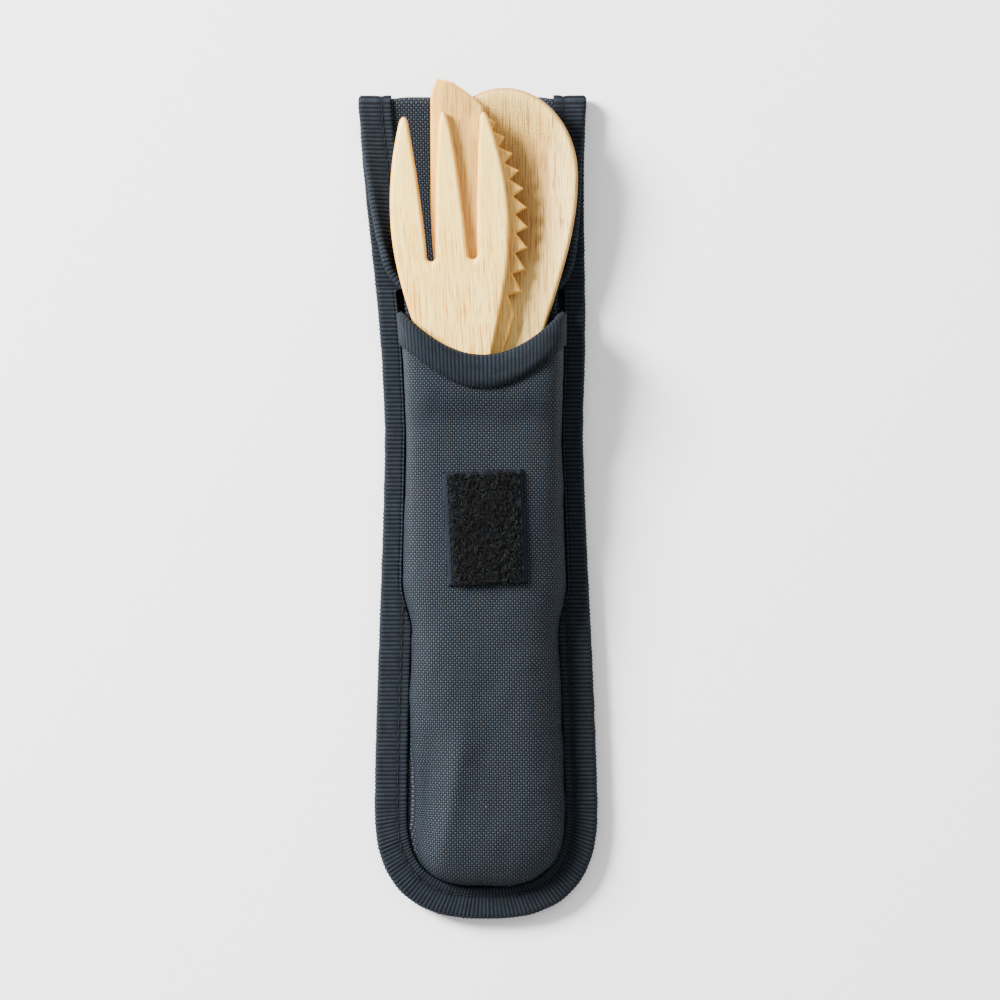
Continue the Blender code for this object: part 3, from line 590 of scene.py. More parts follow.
half, spine_x, spine_y, ray_x, ray_y, spread = front_grid()
front = np.concatenate([mirrored(half, spine_x), half[:, -2::-1]], axis=1)
toward = unit(np.stack([ray_x, ray_y], axis=-1))
flat_right = np.stack([spread * toward[..., 0], spine_y + spread * toward[..., 1]], axis=-1)
flat_left = flat_right * [-1.0, 1.0]
front_uv = np.concatenate([flat_left, flat_right[:, -2::-1]], axis=1)


def normals_of(points):
    """Unit normals of a grid of points, from its two gradients."""
    return unit(np.cross(np.gradient(points, axis=1), np.gradient(points, axis=0)))


def bump_at(x, y, at, reach, turn=0.0):
    """1 at a place, falling off like a bell to either side over reach, with its axes turned."""
    across = (x - at[0]) * np.cos(turn) + (y - at[1]) * np.sin(turn)
    along = (y - at[1]) * np.cos(turn) - (x - at[0]) * np.sin(turn)
    return np.exp(-(across / reach[0]) ** 2 - (along / reach[1]) ** 2)


def front_relief(x, y, rise):
    """How far the cloth stands out of the smooth arch, in metres.

    Bells make the hollow, the ridge beside it and the dents at the patch's corners; ripple makes
    the small unevenness; a fast wave along the seam, fading up the wall, makes the puckers.
    """
    relief = -3.0 * MM * bump_at(x, y, (-14.5 * MM, -74 * MM), (5.5 * MM, 16 * MM), -0.1)
    relief += 0.9 * MM * bump_at(x, y, (-6.5 * MM, -74 * MM), (2.6 * MM, 15 * MM), -0.16)
    relief += -0.5 * MM * bump_at(x, y, (3 * MM, -62 * MM), (6 * MM, 18 * MM), 0.15)
    relief += 0.25 * MM * bump_at(x, y, (12 * MM, -45 * MM), (4 * MM, 30 * MM))
    relief += 0.16 * MM * ripple(x, y, 17 * MM, 3) + 0.07 * MM * ripple(x, y, 6 * MM, 4)
    pucker = np.sin(y / (2.1 * MM) + 1.5 * ripple(x, y, 20 * MM, 5))
    relief += 0.14 * MM * pucker * np.exp(-(rise / (2.2 * MM)) ** 2)
    held = bump_at(x, y, (1.6 * MM, -7 * MM), (14 * MM, 19 * MM))
    return relief * (1 - np.clip(1.6 * held, 0, 1)) * smooth((mouth_y(x) - 7 * MM - y) / (9 * MM))


SEAM_HEIGHT = 2.9 * MM
rise = np.maximum(front[..., 2] - SEAM_HEIGHT, 0.0)
free = smooth(rise / (1.2 * MM))
relief = front_relief(front[..., 0], front[..., 1], rise) * free
front = front + normals_of(front) * relief[..., None]
front_panel = surface("front_cloth", front, panel_fabric, front_uv)


def thicken(item, thickness):
    """Give a sheet its thickness, half to each side."""
    solid = item.modifiers.new("thickness", "SOLIDIFY")
    solid.thickness = thickness
    solid.offset = 0.0
    solid.use_even_offset = False


thicken(front_panel, CLOTH)
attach(front_panel, "root")
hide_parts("front_panel")

# %% [markdown]
# ## The back and the flap
#
# One long sheet: the pouch's back, the turn at the top, and the flap that goes down into the mouth.
# The flap is narrower than the mouth there, and its edges turn up along the cutlery.

# %% Back and flap
FLAP_END_Y, FLAP_CORNER, FLAP_CURL = -22.0 * MM, 8.0 * MM, 3.2 * MM
FLAP_EDGE = [(99.0, 27.8), (83.0, 26.4), (73.0, 25.4), (66.0, 24.4), (60.0, 23.2), (57.0, 22.0),
             (54.5, 20.2), (52.5, 18.4), (47.5, 17.9), (42.0, 17.6), (17.4, 17.2), (-22.0, 17.2)]
FLAP_TURN = [(99.0, 0.0), (83.0, 0.28), (66.0, 0.7), (56.0, 1.2), (52.0, 1.35), (36.0, 1.4),
             (4.0, 0.0), (-22.0, 0.0)]
FLAP_WALL = [(99.0, 3.0), (62.0, 2.0), (54.0, 0.0), (-22.0, 0.0)]


def through(stations, y):
    """A cubic through (place, value) stations in millimetres, read at y.

    The slope at a station is the harmonic mean of the slopes to either side.
    """
    places, values = np.array(sorted(stations)).T * MM
    secants = np.diff(values) / np.diff(places)
    before, after = secants[:-1], secants[1:]
    turning = before * after <= 0
    inner = np.where(turning, 0.0, 2 * before * after / np.where(turning, 1.0, before + after))
    slopes = np.concatenate([secants[:1], inner, secants[-1:]])
    k = np.clip(np.searchsorted(places, y) - 1, 0, len(places) - 2)
    span = places[k + 1] - places[k]
    t = np.clip((y - places[k]) / span, 0.0, 1.0)
    start = (1 + 2 * t) * (1 - t) ** 2 * values[k] + t * (1 - t) ** 2 * span * slopes[k]
    return start + t * t * (3 - 2 * t) * values[k + 1] - t * t * (1 - t) * span * slopes[k + 1]


def flap_parts(y):
    """Across the flap at y: its flat half, the angle its edge turns up by, and the wall beyond."""
    into = np.clip(FLAP_END_Y + FLAP_CORNER - y, 0.0, FLAP_CORNER)
    edge = through(FLAP_EDGE, y) - (FLAP_CORNER - np.sqrt(FLAP_CORNER ** 2 - into ** 2))
    turn = through(FLAP_TURN, y) / MM
    wall = through(FLAP_WALL, y)
    return edge - FLAP_CURL * np.sin(turn) - wall * np.cos(turn), turn, wall


def flap_point(y, inset):
    """Right half of the flap at a distance in from its edge: flat, an arc, then a straight wall."""
    flat, turn, wall = flap_parts(y)
    along = flat + FLAP_CURL * turn + wall - inset
    angle = np.clip((along - flat) / FLAP_CURL, 0.0, turn)
    rest = np.maximum(along - flat - FLAP_CURL * turn, 0.0)
    x = np.minimum(along, flat) + FLAP_CURL * np.sin(angle) + rest * np.cos(turn)
    z = FLAP_CURL * (1.0 - np.cos(angle)) + rest * np.sin(turn)
    return np.stack(np.broadcast_arrays(centre(y) + x, y, FLAP_Z + z), axis=-1)


def fold_point(inset, angle):
    """The fold: half a circle from the back's height to the flap's, and its outer normal."""
    low = back_height(inset, FOLD_Y)
    radius = (FLAP_Z - low) / 2
    zero = np.zeros_like(inset)
    normal = np.stack(np.broadcast_arrays(zero, np.sin(angle), -np.cos(angle)), axis=-1)
    middle = [centre(FOLD_Y) + FOLD_HALF - inset, FOLD_Y, low + radius]
    middle = np.stack(np.broadcast_arrays(*middle), axis=-1)
    return middle + normal * radius[..., None], normal


def sheet_insets(half):
    """Distances in from the edge: close together under the tape, then evenly on to the middle."""
    near = np.array([0.0, 1.5, 3.0, 4.5, 6.0, 7.5, 8.5, 9.5, 10.5, 11.5]) * MM
    near = near * np.minimum(1.0, half * 0.8 / near[-1])
    far = near[..., -1:] + (half - near[..., -1:]) * np.linspace(0.0, 1.0, 12)[1:]
    return np.concatenate([near, far], axis=-1)


FOLD_ROWS, FOLD_RUN = 11, pi * 1.3 * MM
turn = np.linspace(pi / 2, 0.0, 40)[:-1][:, None]
back_y = np.concatenate([np.linspace(HIP_Y, 44 * MM, 110),
                         np.linspace(44.8 * MM, 60 * MM, 24),
                         np.linspace(61 * MM, FOLD_Y, 30)])[:, None]
x, y, dx, dy = [np.concatenate([a, b]) for a, b in zip(bottom_rays(turn), side_rays(back_y))]
length = np.hypot(dx, dy)
inset = sheet_insets(length)
share = 1 - inset / length
back = np.stack([x + dx * share, y + dy * share, back_height(inset, y)], axis=-1)
back_flat = np.stack([dx * share, y + dy * share], axis=-1)
fold_inset = sheet_insets(np.full((1, 1), FOLD_HALF))
fold_turn = np.linspace(0.0, pi, FOLD_ROWS + 1)[1:, None]
fold = fold_point(np.broadcast_to(fold_inset, (FOLD_ROWS, fold_inset.shape[1])), fold_turn)[0]
fold_flat = [FOLD_HALF - fold_inset, FOLD_Y + FOLD_RUN * fold_turn / pi]
fold_flat = np.stack(np.broadcast_arrays(*fold_flat), axis=-1)
end_rows = 1 - np.sin(np.linspace(0, pi / 2, 12)[1:])
flap_y = np.concatenate([np.linspace(FOLD_Y, 62 * MM, 34)[1:], np.linspace(61.5, 46, 28) * MM,
                         np.linspace(45, -14, 60) * MM, FLAP_END_Y + FLAP_CORNER * end_rows])[:, None]
flat, flap_turn, wall = flap_parts(flap_y)
flap_half = flat + FLAP_CURL * flap_turn + wall
flap_inset = sheet_insets(flap_half)
flap = flap_point(flap_y, flap_inset)
flap_flat = [flap_half - flap_inset, 2 * FOLD_Y + FOLD_RUN - flap_y]
flap_flat = np.stack(np.broadcast_arrays(*flap_flat), axis=-1)
half = np.concatenate([back, fold, flap])
half_flat = np.concatenate([back_flat, fold_flat, flap_flat])
half_span = np.concatenate([length, np.full((FOLD_ROWS, 1), FOLD_HALF), flap_half])
waves = 0.1 * MM * ripple(half_flat[..., 0], half_flat[..., 1], 22 * MM, 8)
waves = waves * smooth((half_span * 0.5 - half_flat[..., 0]) / (6 * MM))
half[..., 2] += waves * smooth((half[..., 2] - BACK_Z) / MM)
middles = [(x, back), (centre(FOLD_Y), fold), (centre(flap_y), flap)]
sheet_middle = np.concatenate([np.broadcast_to(line, part.shape[:2]) for line, part in middles])
sheet = np.concatenate([mirrored(half, sheet_middle), half[:, -2::-1]], axis=1)
sheet_uv = np.concatenate([half_flat * [-1.0, 1.0], half_flat[:, -2::-1]], axis=1)
back_cloth = surface("back_and_flap_cloth", sheet, panel_fabric, sheet_uv)
thicken(back_cloth, CLOTH)
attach(back_cloth, "root")
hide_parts("back_panel_and_flap")

# %% [markdown]
# ## The binding tape
#
# A 15 mm grosgrain tape is folded over the raw edges and sewn through, so its section is a hairpin:
# one layer under the edge, the turn round it, and one layer on top. Carried round the pouch, over
# the fold and round the flap, it is one closed loop. Its ribs lie across it, a little more than a
# millimetre apart, and stand out at the edge as a fine scallop. The section is worked out at four
# places per rib, and its outer face moves out and in with the rib. DEPTHS are how far in from the
# edge the section's places lie, and UNDERSIDE picks the ones that its inner face needs.

# %% Folded tape
RIB, RIB_DEPTH, PER_RIB = 1.05 * MM, 0.17 * MM, 4
STEP = RIB / PER_RIB
GROOVE_DEPTH, GROOVE_HALF = 0.18 * MM, 0.55 * MM
BEAD_AT, BEAD_HEIGHT, BEAD_HALF = 6.4 * MM, 0.1 * MM, 0.6 * MM
DEPTHS = np.array([7.5, 6.8, 6.0, 5.0, 4.3, 3.2, 1.8, 0.6, 0.0]) * MM
UNDERSIDE = [0, 3, 5, 8, 10, 12, 15, 17, 20]
EDGE_PLACE = 10


def folded(outer, inner, outward):
    """Middle line of the folded tape [station, place]: outer layer, a half turn, inner layer.

    The layers are given from the margin to the edge, already at the tape's own middle.
    """
    top, low = outer[:, -1:], inner[:, -1:]
    middle = (top + low) / 2
    angle = (np.array([1, 2, 3]) * pi / 4)[None, :, None]
    turn = middle + (top - middle) * np.cos(angle) + outward[:, None] * REACH * np.sin(angle)
    return np.concatenate([outer, turn, inner[:, ::-1]], axis=1)


def even_stations(line):
    """A line of sections[station, place] read again at even steps along the tape's outer edge.

    The number of steps is a multiple of PER_RIB, so that whole ribs fit.
    """
    run = run_of(line[:, EDGE_PLACE])
    count = int(round(run[-1] / RIB)) * PER_RIB
    at = np.linspace(0.0, run[-1], count + 1)
    k = np.clip(np.searchsorted(run, at) - 1, 0, len(run) - 2)
    t = ((at - run[k]) / (run[k + 1] - run[k]))[:, None, None]
    return line[k] * (1 - t) + line[k + 1] * t


def ribbed(line, depths, seed):
    """A ribbed ribbon on a middle line: its outer face carries ribs, a groove and a bead.

    rib = |sin(pi s / RIB)|^0.7 along the tape, made uneven by a ripple. The groove is a bell at the
    stitch line, and the bead one in the narrow strip beyond it.
    """
    across = np.gradient(line, axis=1)
    ahead = np.gradient(line, axis=0)
    normal = unit(np.cross(ahead, across))
    station = np.arange(len(line))
    rib = np.abs(np.sin(pi * station / PER_RIB)) ** 0.7
    groove = np.exp(-((depths - SEAM) / GROOVE_HALF) ** 2)
    bead = np.exp(-((depths - BEAD_AT) / BEAD_HALF) ** 2)
    place = np.arange(line.shape[1])[None] * 0.8 * MM
    wave = 0.05 * MM * ripple(station[:, None] * STEP, place, 9 * MM, seed)
    uneven = 1 + 0.45 * ripple(station * STEP, 0.0, 5 * MM, seed + 20)
    relief = RIB_DEPTH * (rib * uneven - 0.5)[:, None] * (1 - 0.5 * groove)
    relief = relief - GROOVE_DEPTH * groove + wave + BEAD_HEIGHT * bead
    face = line + normal * (TAPE / 2 + relief)[..., None]
    under = (line - normal * TAPE / 2)[:, UNDERSIDE[::-1]]
    width = run_of(line, axis=1)
    along = np.broadcast_to((station * STEP)[:, None], width.shape)
    uv = np.stack([along, width], axis=-1)
    points = np.concatenate([face, under], axis=1)
    uv = np.concatenate([uv, uv[:, UNDERSIDE[::-1]]], axis=1)
    # The stitch groove's bell is also the mask of the painted shade along the stitch line.
    stitch_shade = np.concatenate([groove, np.zeros(len(UNDERSIDE))])
    layers = {"rib": np.broadcast_to(rib[:, None], points.shape[:2]),
              "stitch_shade": np.broadcast_to(stitch_shade, points.shape[:2])}
    return points, uv, layers, face, normal


CLIMB = 220


def front_layer(x, y, dx, dy):
    """The layer of the tape on the front panel, at each depth: flat, then up the arch's wall.

    On the flat it stops short of the wall by its own offset. On the wall it stands off by the same.
    The wall is walked in CLIMB fine steps, and each depth is read off between two of them.
    """
    length = np.hypot(dx, dy)
    inward = np.stack([-dx, -dy, 0 * dx], axis=-1) / length[:, None]
    edge = np.stack([x + dx, y + dy, front_base(y) + WRAP], axis=-1)
    inset = arch_inset(y)
    low = (inset - SEAM) / (LOW_INSET - SEAM)
    stand = WRAP - (WRAP - TAPE) * low
    flat = np.minimum(DEPTHS[None], (inset - stand)[:, None])
    on_flat = edge[:, None] + inward[:, None] * flat[..., None]
    fine = (np.linspace(0.0, 1.0, CLIMB) ** 3)[None] * 1.2
    rays = [part[:, None] for part in (x, y, dx, dy)]
    climb = arch(*rays, np.broadcast_to(fine, (len(x), CLIMB)))
    run = run_of(climb, axis=1)
    want = np.clip(DEPTHS[None] - inset[:, None], 0.0, None)
    k = np.clip((run[:, None, :] < want[..., None]).sum(axis=2) - 1, 0, CLIMB - 2)
    row = np.arange(len(x))[:, None]
    t = np.clip((want - run[row, k]) / (run[row, k + 1] - run[row, k]), 0, 1)[..., None]
    here = climb[row, k] * (1 - t) + climb[row, k + 1] * t
    tangent = unit(climb[row, k + 1] - climb[row, k])
    lean = (tangent * inward[:, None]).sum(axis=-1, keepdims=True)
    out = UP * lean - inward[:, None] * tangent[..., 2:]
    on_wall = here + out * stand[:, None, None]
    on_wall[..., 2] = np.maximum(on_wall[..., 2], (front_base(y) + WRAP)[:, None])
    return np.where((DEPTHS[None] > inset[:, None])[..., None], on_wall, on_flat)


def loop_half():
    """Sections of the tape round the right half: bottom, side, fold, flap and the flap's end."""
    turn = np.linspace(pi / 2, 0.0, 260)[:-1]
    y = np.linspace(HIP_Y, FOLD_Y, 1300)
    x, y, dx, dy = [np.concatenate([a, b]) for a, b in zip(bottom_rays(turn), side_rays(y))]
    length = np.hypot(dx, dy)
    out = np.stack([dx, dy, 0 * dx], axis=-1) / length[:, None]
    edge = np.stack([x + dx, y + dy, 0 * dx], axis=-1)
    under = edge[:, None] - out[:, None] * DEPTHS[None, :, None]
    under[..., 2] = back_height(DEPTHS[None], y[:, None])
    opened = smooth((y - CORNER_Y) / MM)[:, None, None]
    over = front_layer(x, y, dx, dy) * (1 - opened) + (under + UP * WRAP) * opened
    parts = [folded(under - UP * WRAP, over, out)]
    turn = np.linspace(0.0, pi, 40)[1:, None]
    on_fold, normal = fold_point(np.broadcast_to(DEPTHS, (39, len(DEPTHS))), turn)
    out = np.tile([1.0, 0.0, 0.0], (39, 1))
    parts.append(folded(on_fold + normal * WRAP, on_fold - normal * WRAP, out))
    y = np.linspace(FOLD_Y, FLAP_END_Y + FLAP_CORNER, 900)[1:, None]
    on_flap = flap_point(y, DEPTHS[None])
    step = 0.2 * MM
    across = flap_point(y, DEPTHS[None] + step) - on_flap
    ahead = flap_point(y - step, DEPTHS[None]) - flap_point(y + step, DEPTHS[None])
    normal = unit(np.cross(across, ahead))
    parts.append(folded(on_flap + normal * WRAP, on_flap - normal * WRAP, -unit(across[:, -1])))
    turn = np.linspace(0.0, pi / 2, 60)[1:]
    out = np.stack([np.cos(turn), -np.sin(turn), 0 * turn], axis=-1)
    end_half = FLAP_EDGE[-1][1] * MM - FLAP_CORNER
    pivot = np.array([centre(FLAP_END_Y) + end_half, FLAP_END_Y + FLAP_CORNER, FLAP_Z])
    on_end = pivot + out[:, None] * (FLAP_CORNER - DEPTHS)[None, :, None]
    parts.append(folded(on_end + UP * WRAP, on_end - UP * WRAP, out))
    middle = parts[-1][-1:] + np.linspace(0.0, 1.0, 40)[1:, None, None] * [-end_half, 0.0, 0.0]
    return np.concatenate(parts + [middle])


def both_halves(right):
    """A tape's right half at even steps, and its mirror image after it."""
    right = even_stations(right)
    left = mirrored(right, centre(right[..., 1]))
    return np.concatenate([right, left[-2::-1]])


loop_line = both_halves(loop_half())
section_depths = np.concatenate([DEPTHS, np.zeros(3), DEPTHS[::-1]])
points, uv, layers, loop_face, loop_normal = ribbed(loop_line, section_depths, 11)
points[-1] = points[0]
edge_tape = surface("edge_tape", points, binding_tape, uv, layers, closed=True)
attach(edge_tape, "root")
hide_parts("edge_binding")
print("edge tape", len(loop_line) // PER_RIB, "ribs, faces out", float(loop_normal[40, 2, 2]))

# %% [markdown]
# ## The mouth's tape
#
# The same tape, shorter, folded over the front panel's upper edge. It runs up one wall of the
# mouth, over the crown and down the other, and its ends go under the side tape.

# %% Mouth tape


def mouth_half():
    """Sections from the right wall's foot to the middle of the mouth, laid on the front's arch."""
    angle = (0.05 + (pi / 2 - 0.05) * np.linspace(0.0, 1.0, 700) ** 1.6)[:, None]
    offset = (half_width(MOUTH_MID_Y) - SEAM) * np.clip(np.cos(angle), 0, 1) ** (2 / ARCH_MOUTH)
    y = mouth_y(offset) - DEPTHS[None]

    def on_front(y, angle):
        """A point of the front's arch, with the angle kept between the seam and the middle."""
        return arch(*side_rays(y), np.clip(angle, 0.0, pi / 2))

    here = on_front(y, angle)
    across = on_front(y, angle + 0.004) - on_front(y, angle - 0.004)
    ahead = on_front(y + 0.3 * MM, angle) - on_front(y - 0.3 * MM, angle)
    normal = -unit(np.cross(across, ahead))
    normal[-1] = UP
    normal = np.where(normal[..., 2:] < 0, -normal, normal)
    return folded(here + normal * WRAP, here - normal * WRAP, unit(ahead[:, -1]))


mouth_line = both_halves(mouth_half())
points, uv, layers, mouth_face, mouth_normal = ribbed(mouth_line, section_depths, 12)
print("mouth tape faces out", float(mouth_normal[len(mouth_line) // 2, 2, 2]))
mouth_tape = surface("mouth_tape", points, binding_tape, uv, layers, closed=True)
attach(mouth_tape, "root")
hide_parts("mouth_binding")

# %% [markdown]
# ## Cutlery
#
# Each piece is cut from a bamboo board and sanded. Its outline is filled with a grid of points. A
# point's height depends only on its distance to the outline, so the edge is rounded all round, and
# the upper and the lower face meet there. The spoon's middle surface is dished as well.

# %% Plates of bamboo
STACK_BUTT_Y, STACK_BUTT_Z, STACK_SLOPE = -94.0 * MM, 3.0 * MM, 0.0338
HANDLE_HALF, BUTT_HALF, THICK = 5.8 * MM, 7.2 * MM, 2.0 * MM


def in_stack(points, place, turn):
    """Turn a piece in its plane, put it in the stack, then tilt it as the stack lies."""
    x = points[..., 0] * np.cos(turn) - points[..., 1] * np.sin(turn) + place[0]
    y = points[..., 0] * np.sin(turn) + points[..., 1] * np.cos(turn) + place[1]
    z = points[..., 2] + place[2]
    tilt = atan(STACK_SLOPE)
    return np.stack([x, STACK_BUTT_Y + y * np.cos(tilt) - z * np.sin(tilt),
                     STACK_BUTT_Z + y * np.sin(tilt) + z * np.cos(tilt)], axis=-1)


def distance_to(outline, x, y):
    """Distance from places to the nearest side of a closed outline."""
    start, end = outline, np.roll(outline, -1, axis=0)
    place = np.stack([x, y], axis=-1)[..., None, :]
    best = np.full(x.shape, 1.0)
    for block in np.array_split(np.arange(len(start)), 24):
        side = end[block] - start[block]
        reach = np.maximum((side ** 2).sum(axis=-1), 1e-14)
        t = np.clip(((place - start[block]) * side).sum(axis=-1) / reach, 0.0, 1.0)
        gap = np.linalg.norm(place - start[block] - side * t[..., None], axis=-1)
        best = np.minimum(best, gap.min(axis=-1))
    return best


def rounded(distance, radius):
    """Half the thickness near an edge: a quarter circle over radius, then full."""
    return THICK / 2 * np.sqrt(1 - (1 - np.clip(distance / radius, 0.0, 1.0)) ** 2)


def band(left, right, s, columns):
    """Places between two edges, closer together near both: x from left to right, y = -s."""
    share = 0.5 - 0.5 * np.cos(pi * np.linspace(0.0, 1.0, columns))
    x = left[:, None] + (right - left)[:, None] * share[None]
    return x, np.broadcast_to(-s[:, None], x.shape)


def handle_end(s, length):
    """Share of the half width left near the rounded butt end."""
    into = np.clip((s - (length - BUTT_HALF)) / BUTT_HALF, 0.0, 1.0)
    return (1.0 - into ** 2.4) ** (1 / 2.4)


def handle_swell(s, length):
    """A handle widens from its neck to its butt."""
    return (BUTT_HALF - HANDLE_HALF) * smooth((s - 0.45 * length) / (0.5 * length))


def narrowing(s, start, length, wide, narrow):
    """Half width that falls from wide to narrow as half a cosine wave."""
    t = np.clip((s - start) / length, 0.0, 1.0)
    return narrow + (wide - narrow) * (0.5 + 0.5 * np.cos(pi * t))


def bamboo_piece(name, bands, outline, shape, coat, place, turn):
    """Weld the upper and lower faces of one or more bands into a closed piece.

    shape(x, y, distance) gives the height of the upper and the lower face, and the layers.
    """
    points, faces, coords, layers, first = [], [], [], {}, 0
    for x, y in bands:
        distance = distance_to(outline, x, y)
        upper, lower, numbers = shape(x, y, distance)
        for height, flip in ((upper, False), (lower, True)):
            points.append(np.stack([x, y, height], axis=-1).reshape(-1, 3))
            coords.append(np.stack([x, y], axis=-1).reshape(-1, 2))
            grid = grid_faces(*x.shape, first=first)
            faces.append(grid[:, ::-1] if flip else grid)
            for key, values in numbers.items():
                layers.setdefault(key, []).append(np.broadcast_to(values, x.shape).ravel())
            first += x.size
    placed = in_stack(np.concatenate(points), place, turn)
    joined = {key: np.concatenate(values) for key, values in layers.items()}
    grids, flat = np.concatenate(faces), np.concatenate(coords)
    return make_mesh(name, placed, grids, coat, flat, joined, weld=True)


def butt_rows(length):
    """Rows round the butt end, closer together towards its tip."""
    return length - BUTT_HALF * (1 - np.sin(np.linspace(0.0, pi / 2, 14)[1:]))


# %% [markdown]
# ### The spoon
#
# At the bottom of the stack, hollow side up. The hollow's far end cuts across the fibres, so it
# shows dots there, and painted shade makes it darkest where it is deepest and in a band right of
# the middle.

# %% Spoon
SPOON_LENGTH, SPOON_TIP, SPOON_TURN = 195.0 * MM, (6.2 * MM, 102.9 * MM), radians(0.3)
SPOON_HALF, SPOON_WIDEST, SPOON_NECK, SPOON_DEPTH = 18.4 * MM, 22.0 * MM, 63.0 * MM, 4.4 * MM
SHADE_BAND = (3.5 * MM, -36 * MM), (6.5 * MM, 19 * MM), 0.08


def spoon_half(s):
    """Half an ellipse to the widest place, then the neck and the handle."""
    down = np.minimum(s, SPOON_WIDEST) / SPOON_WIDEST
    bowl = SPOON_HALF * np.sqrt(np.clip(1 - (down - 1) ** 2, 0, 1))
    neck = narrowing(s, SPOON_WIDEST, SPOON_NECK, SPOON_HALF, HANDLE_HALF)
    shaft = neck + handle_swell(s, SPOON_LENGTH)
    return np.where(s < SPOON_WIDEST, bowl, shaft * handle_end(s, SPOON_LENGTH))


def spoon_shape(x, y, distance):
    """The dish sinks by DEPTH (1 - share^2)^1.5 between a soft start and a soft end."""
    s = -y
    dish = smooth(s / (20 * MM)) * (1 - smooth((s - 30 * MM) / (36 * MM)))
    share = np.clip(np.abs(x) / np.maximum(spoon_half(s), 1e-6), 0, 1)
    sink = SPOON_DEPTH * dish * (1 - share ** 2) ** 1.5
    half = rounded(distance, 1.1 * MM)
    hollow = (sink / SPOON_DEPTH) ** 0.7
    # Painted shade: deeper in the hollow and in a band right of its middle, mixed toward the dark
    # edge colour.
    band_shade = bump_at(x, y, *SHADE_BAND)
    speckle = smooth((24 * MM - s) / (14 * MM)) * smooth((distance - 1.5 * MM) / (2 * MM))
    layers = {"edge": distance / (2 * MM), "lower": np.clip(0.45 + hollow * 0.9, 0, 1.2),
              "speckle": speckle, "light_and_shade": 0.5 * hollow + 0.4 * band_shade}
    return half - sink, -half - sink, layers


s = np.concatenate([SPOON_WIDEST * (1 - np.cos(np.linspace(0, pi / 2, 34))),
                    np.linspace(SPOON_WIDEST, SPOON_LENGTH - BUTT_HALF, 190)[1:],
                    butt_rows(SPOON_LENGTH)])
x, y = band(-spoon_half(s), spoon_half(s), s, 48)
right_side = np.stack([spoon_half(s), -s], axis=-1)
outline = np.concatenate([right_side, (right_side * [-1, 1])[::-1]])
spoon = bamboo_piece("bamboo_spoon", [(x, y)], outline, spoon_shape, honey_bamboo,
                     (SPOON_TIP[0], SPOON_TIP[1] - STACK_BUTT_Y, THICK / 2), SPOON_TURN)
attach(spoon, "root")
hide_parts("spoon")

# %% [markdown]
# ### The knife
#
# A straight spine with a bevel along it, and a belly of hooked teeth that grow towards the handle.
# Its outline is measured in the pack's own y, and its points from the stack's butt end.

# %% Knife
KNIFE_TIP_Y, KNIFE_BUTT_Y, KNIFE_X = 105.1 * MM, -93.0 * MM, 0.25 * MM
SPINE_HALF, BELLY_HALF, BELLY_Y = 12.3 * MM, 12.0 * MM, 67.5 * MM
BELLY_TOP, BELLY_LOW, BELLY_BULGE = 40.0 * MM, 48.0 * MM, 31.5 * MM
TEETH, TOOTH_TOP_Y, TOOTH_PITCH = 12, 98.0 * MM, 3.5 * MM
TOOTH_GROWTH, TOOTH_DEPTH = 0.11 * MM, 3.0 * MM
NOTCH_SHIFT, NOTCH_START, NOTCH_LEAST, HEEL_Y = 0.33 * MM, -1.6 * MM, -0.4 * MM, 41.0 * MM
KNIFE_LENGTH, NOSE = KNIFE_TIP_Y - KNIFE_BUTT_Y, 1.3 * MM


def belly(y):
    """The curve through the tips of the teeth: two quarter ellipses."""
    reach = np.where(y > BELLY_Y, BELLY_TOP, BELLY_LOW)
    return BELLY_HALF - BELLY_BULGE * (1 - np.sqrt(np.clip(1 - ((y - BELLY_Y) / reach) ** 2, 0, 1)))


tooth = np.arange(TEETH)
tips = TOOTH_TOP_Y - TOOTH_PITCH * tooth - TOOTH_GROWTH * tooth ** 2
notches = (tips[1:] + tips[:-1]) / 2 + np.maximum(NOTCH_LEAST, NOTCH_START + NOTCH_SHIFT * tooth[1:])
notch_depth = TOOTH_DEPTH * np.minimum(1.0, 0.35 + 0.2 * tooth[1:])
corner_y = np.concatenate([[HEEL_Y - 3 * MM, HEEL_Y], tips[::-1], notches])
heel_x = [HANDLE_HALF + 0.5 * MM, HANDLE_HALF + 1.6 * MM]
corner_x = np.concatenate([heel_x, belly(tips[::-1]), belly(notches) - notch_depth])
order = np.argsort(corner_y)
corner_y, corner_x = corner_y[order], corner_x[order]


def knife_right(y):
    """The toothed side: straight lines between the teeth's corners, belly above, handle below."""
    s = KNIFE_TIP_Y - y
    handle = (HANDLE_HALF + handle_swell(s, KNIFE_LENGTH)) * handle_end(s, KNIFE_LENGTH)
    join = smooth((y - 28 * MM) / (10 * MM)) * 0.5 * MM
    toothed = np.interp(y, corner_y, corner_x)
    nose = 4.4 * MM * np.clip(1 - s / NOSE, 0, 1) ** 2
    tip = belly(np.minimum(y, KNIFE_TIP_Y - NOSE)) - nose
    return np.where(y < corner_y[0], handle + join, np.where(y > TOOTH_TOP_Y, tip, toothed))


def knife_left(y):
    """The spine: straight, rounded at the tip, narrowing to the handle."""
    s = KNIFE_TIP_Y - y
    side = narrowing(s, 30 * MM, 66 * MM, SPINE_HALF, HANDLE_HALF)
    side = side + handle_swell(s, KNIFE_LENGTH)
    tip = 1.6 * MM * np.clip(1 - s / (6 * MM), 0, 1) ** 2.5
    return (-side + tip) * handle_end(s, KNIFE_LENGTH)


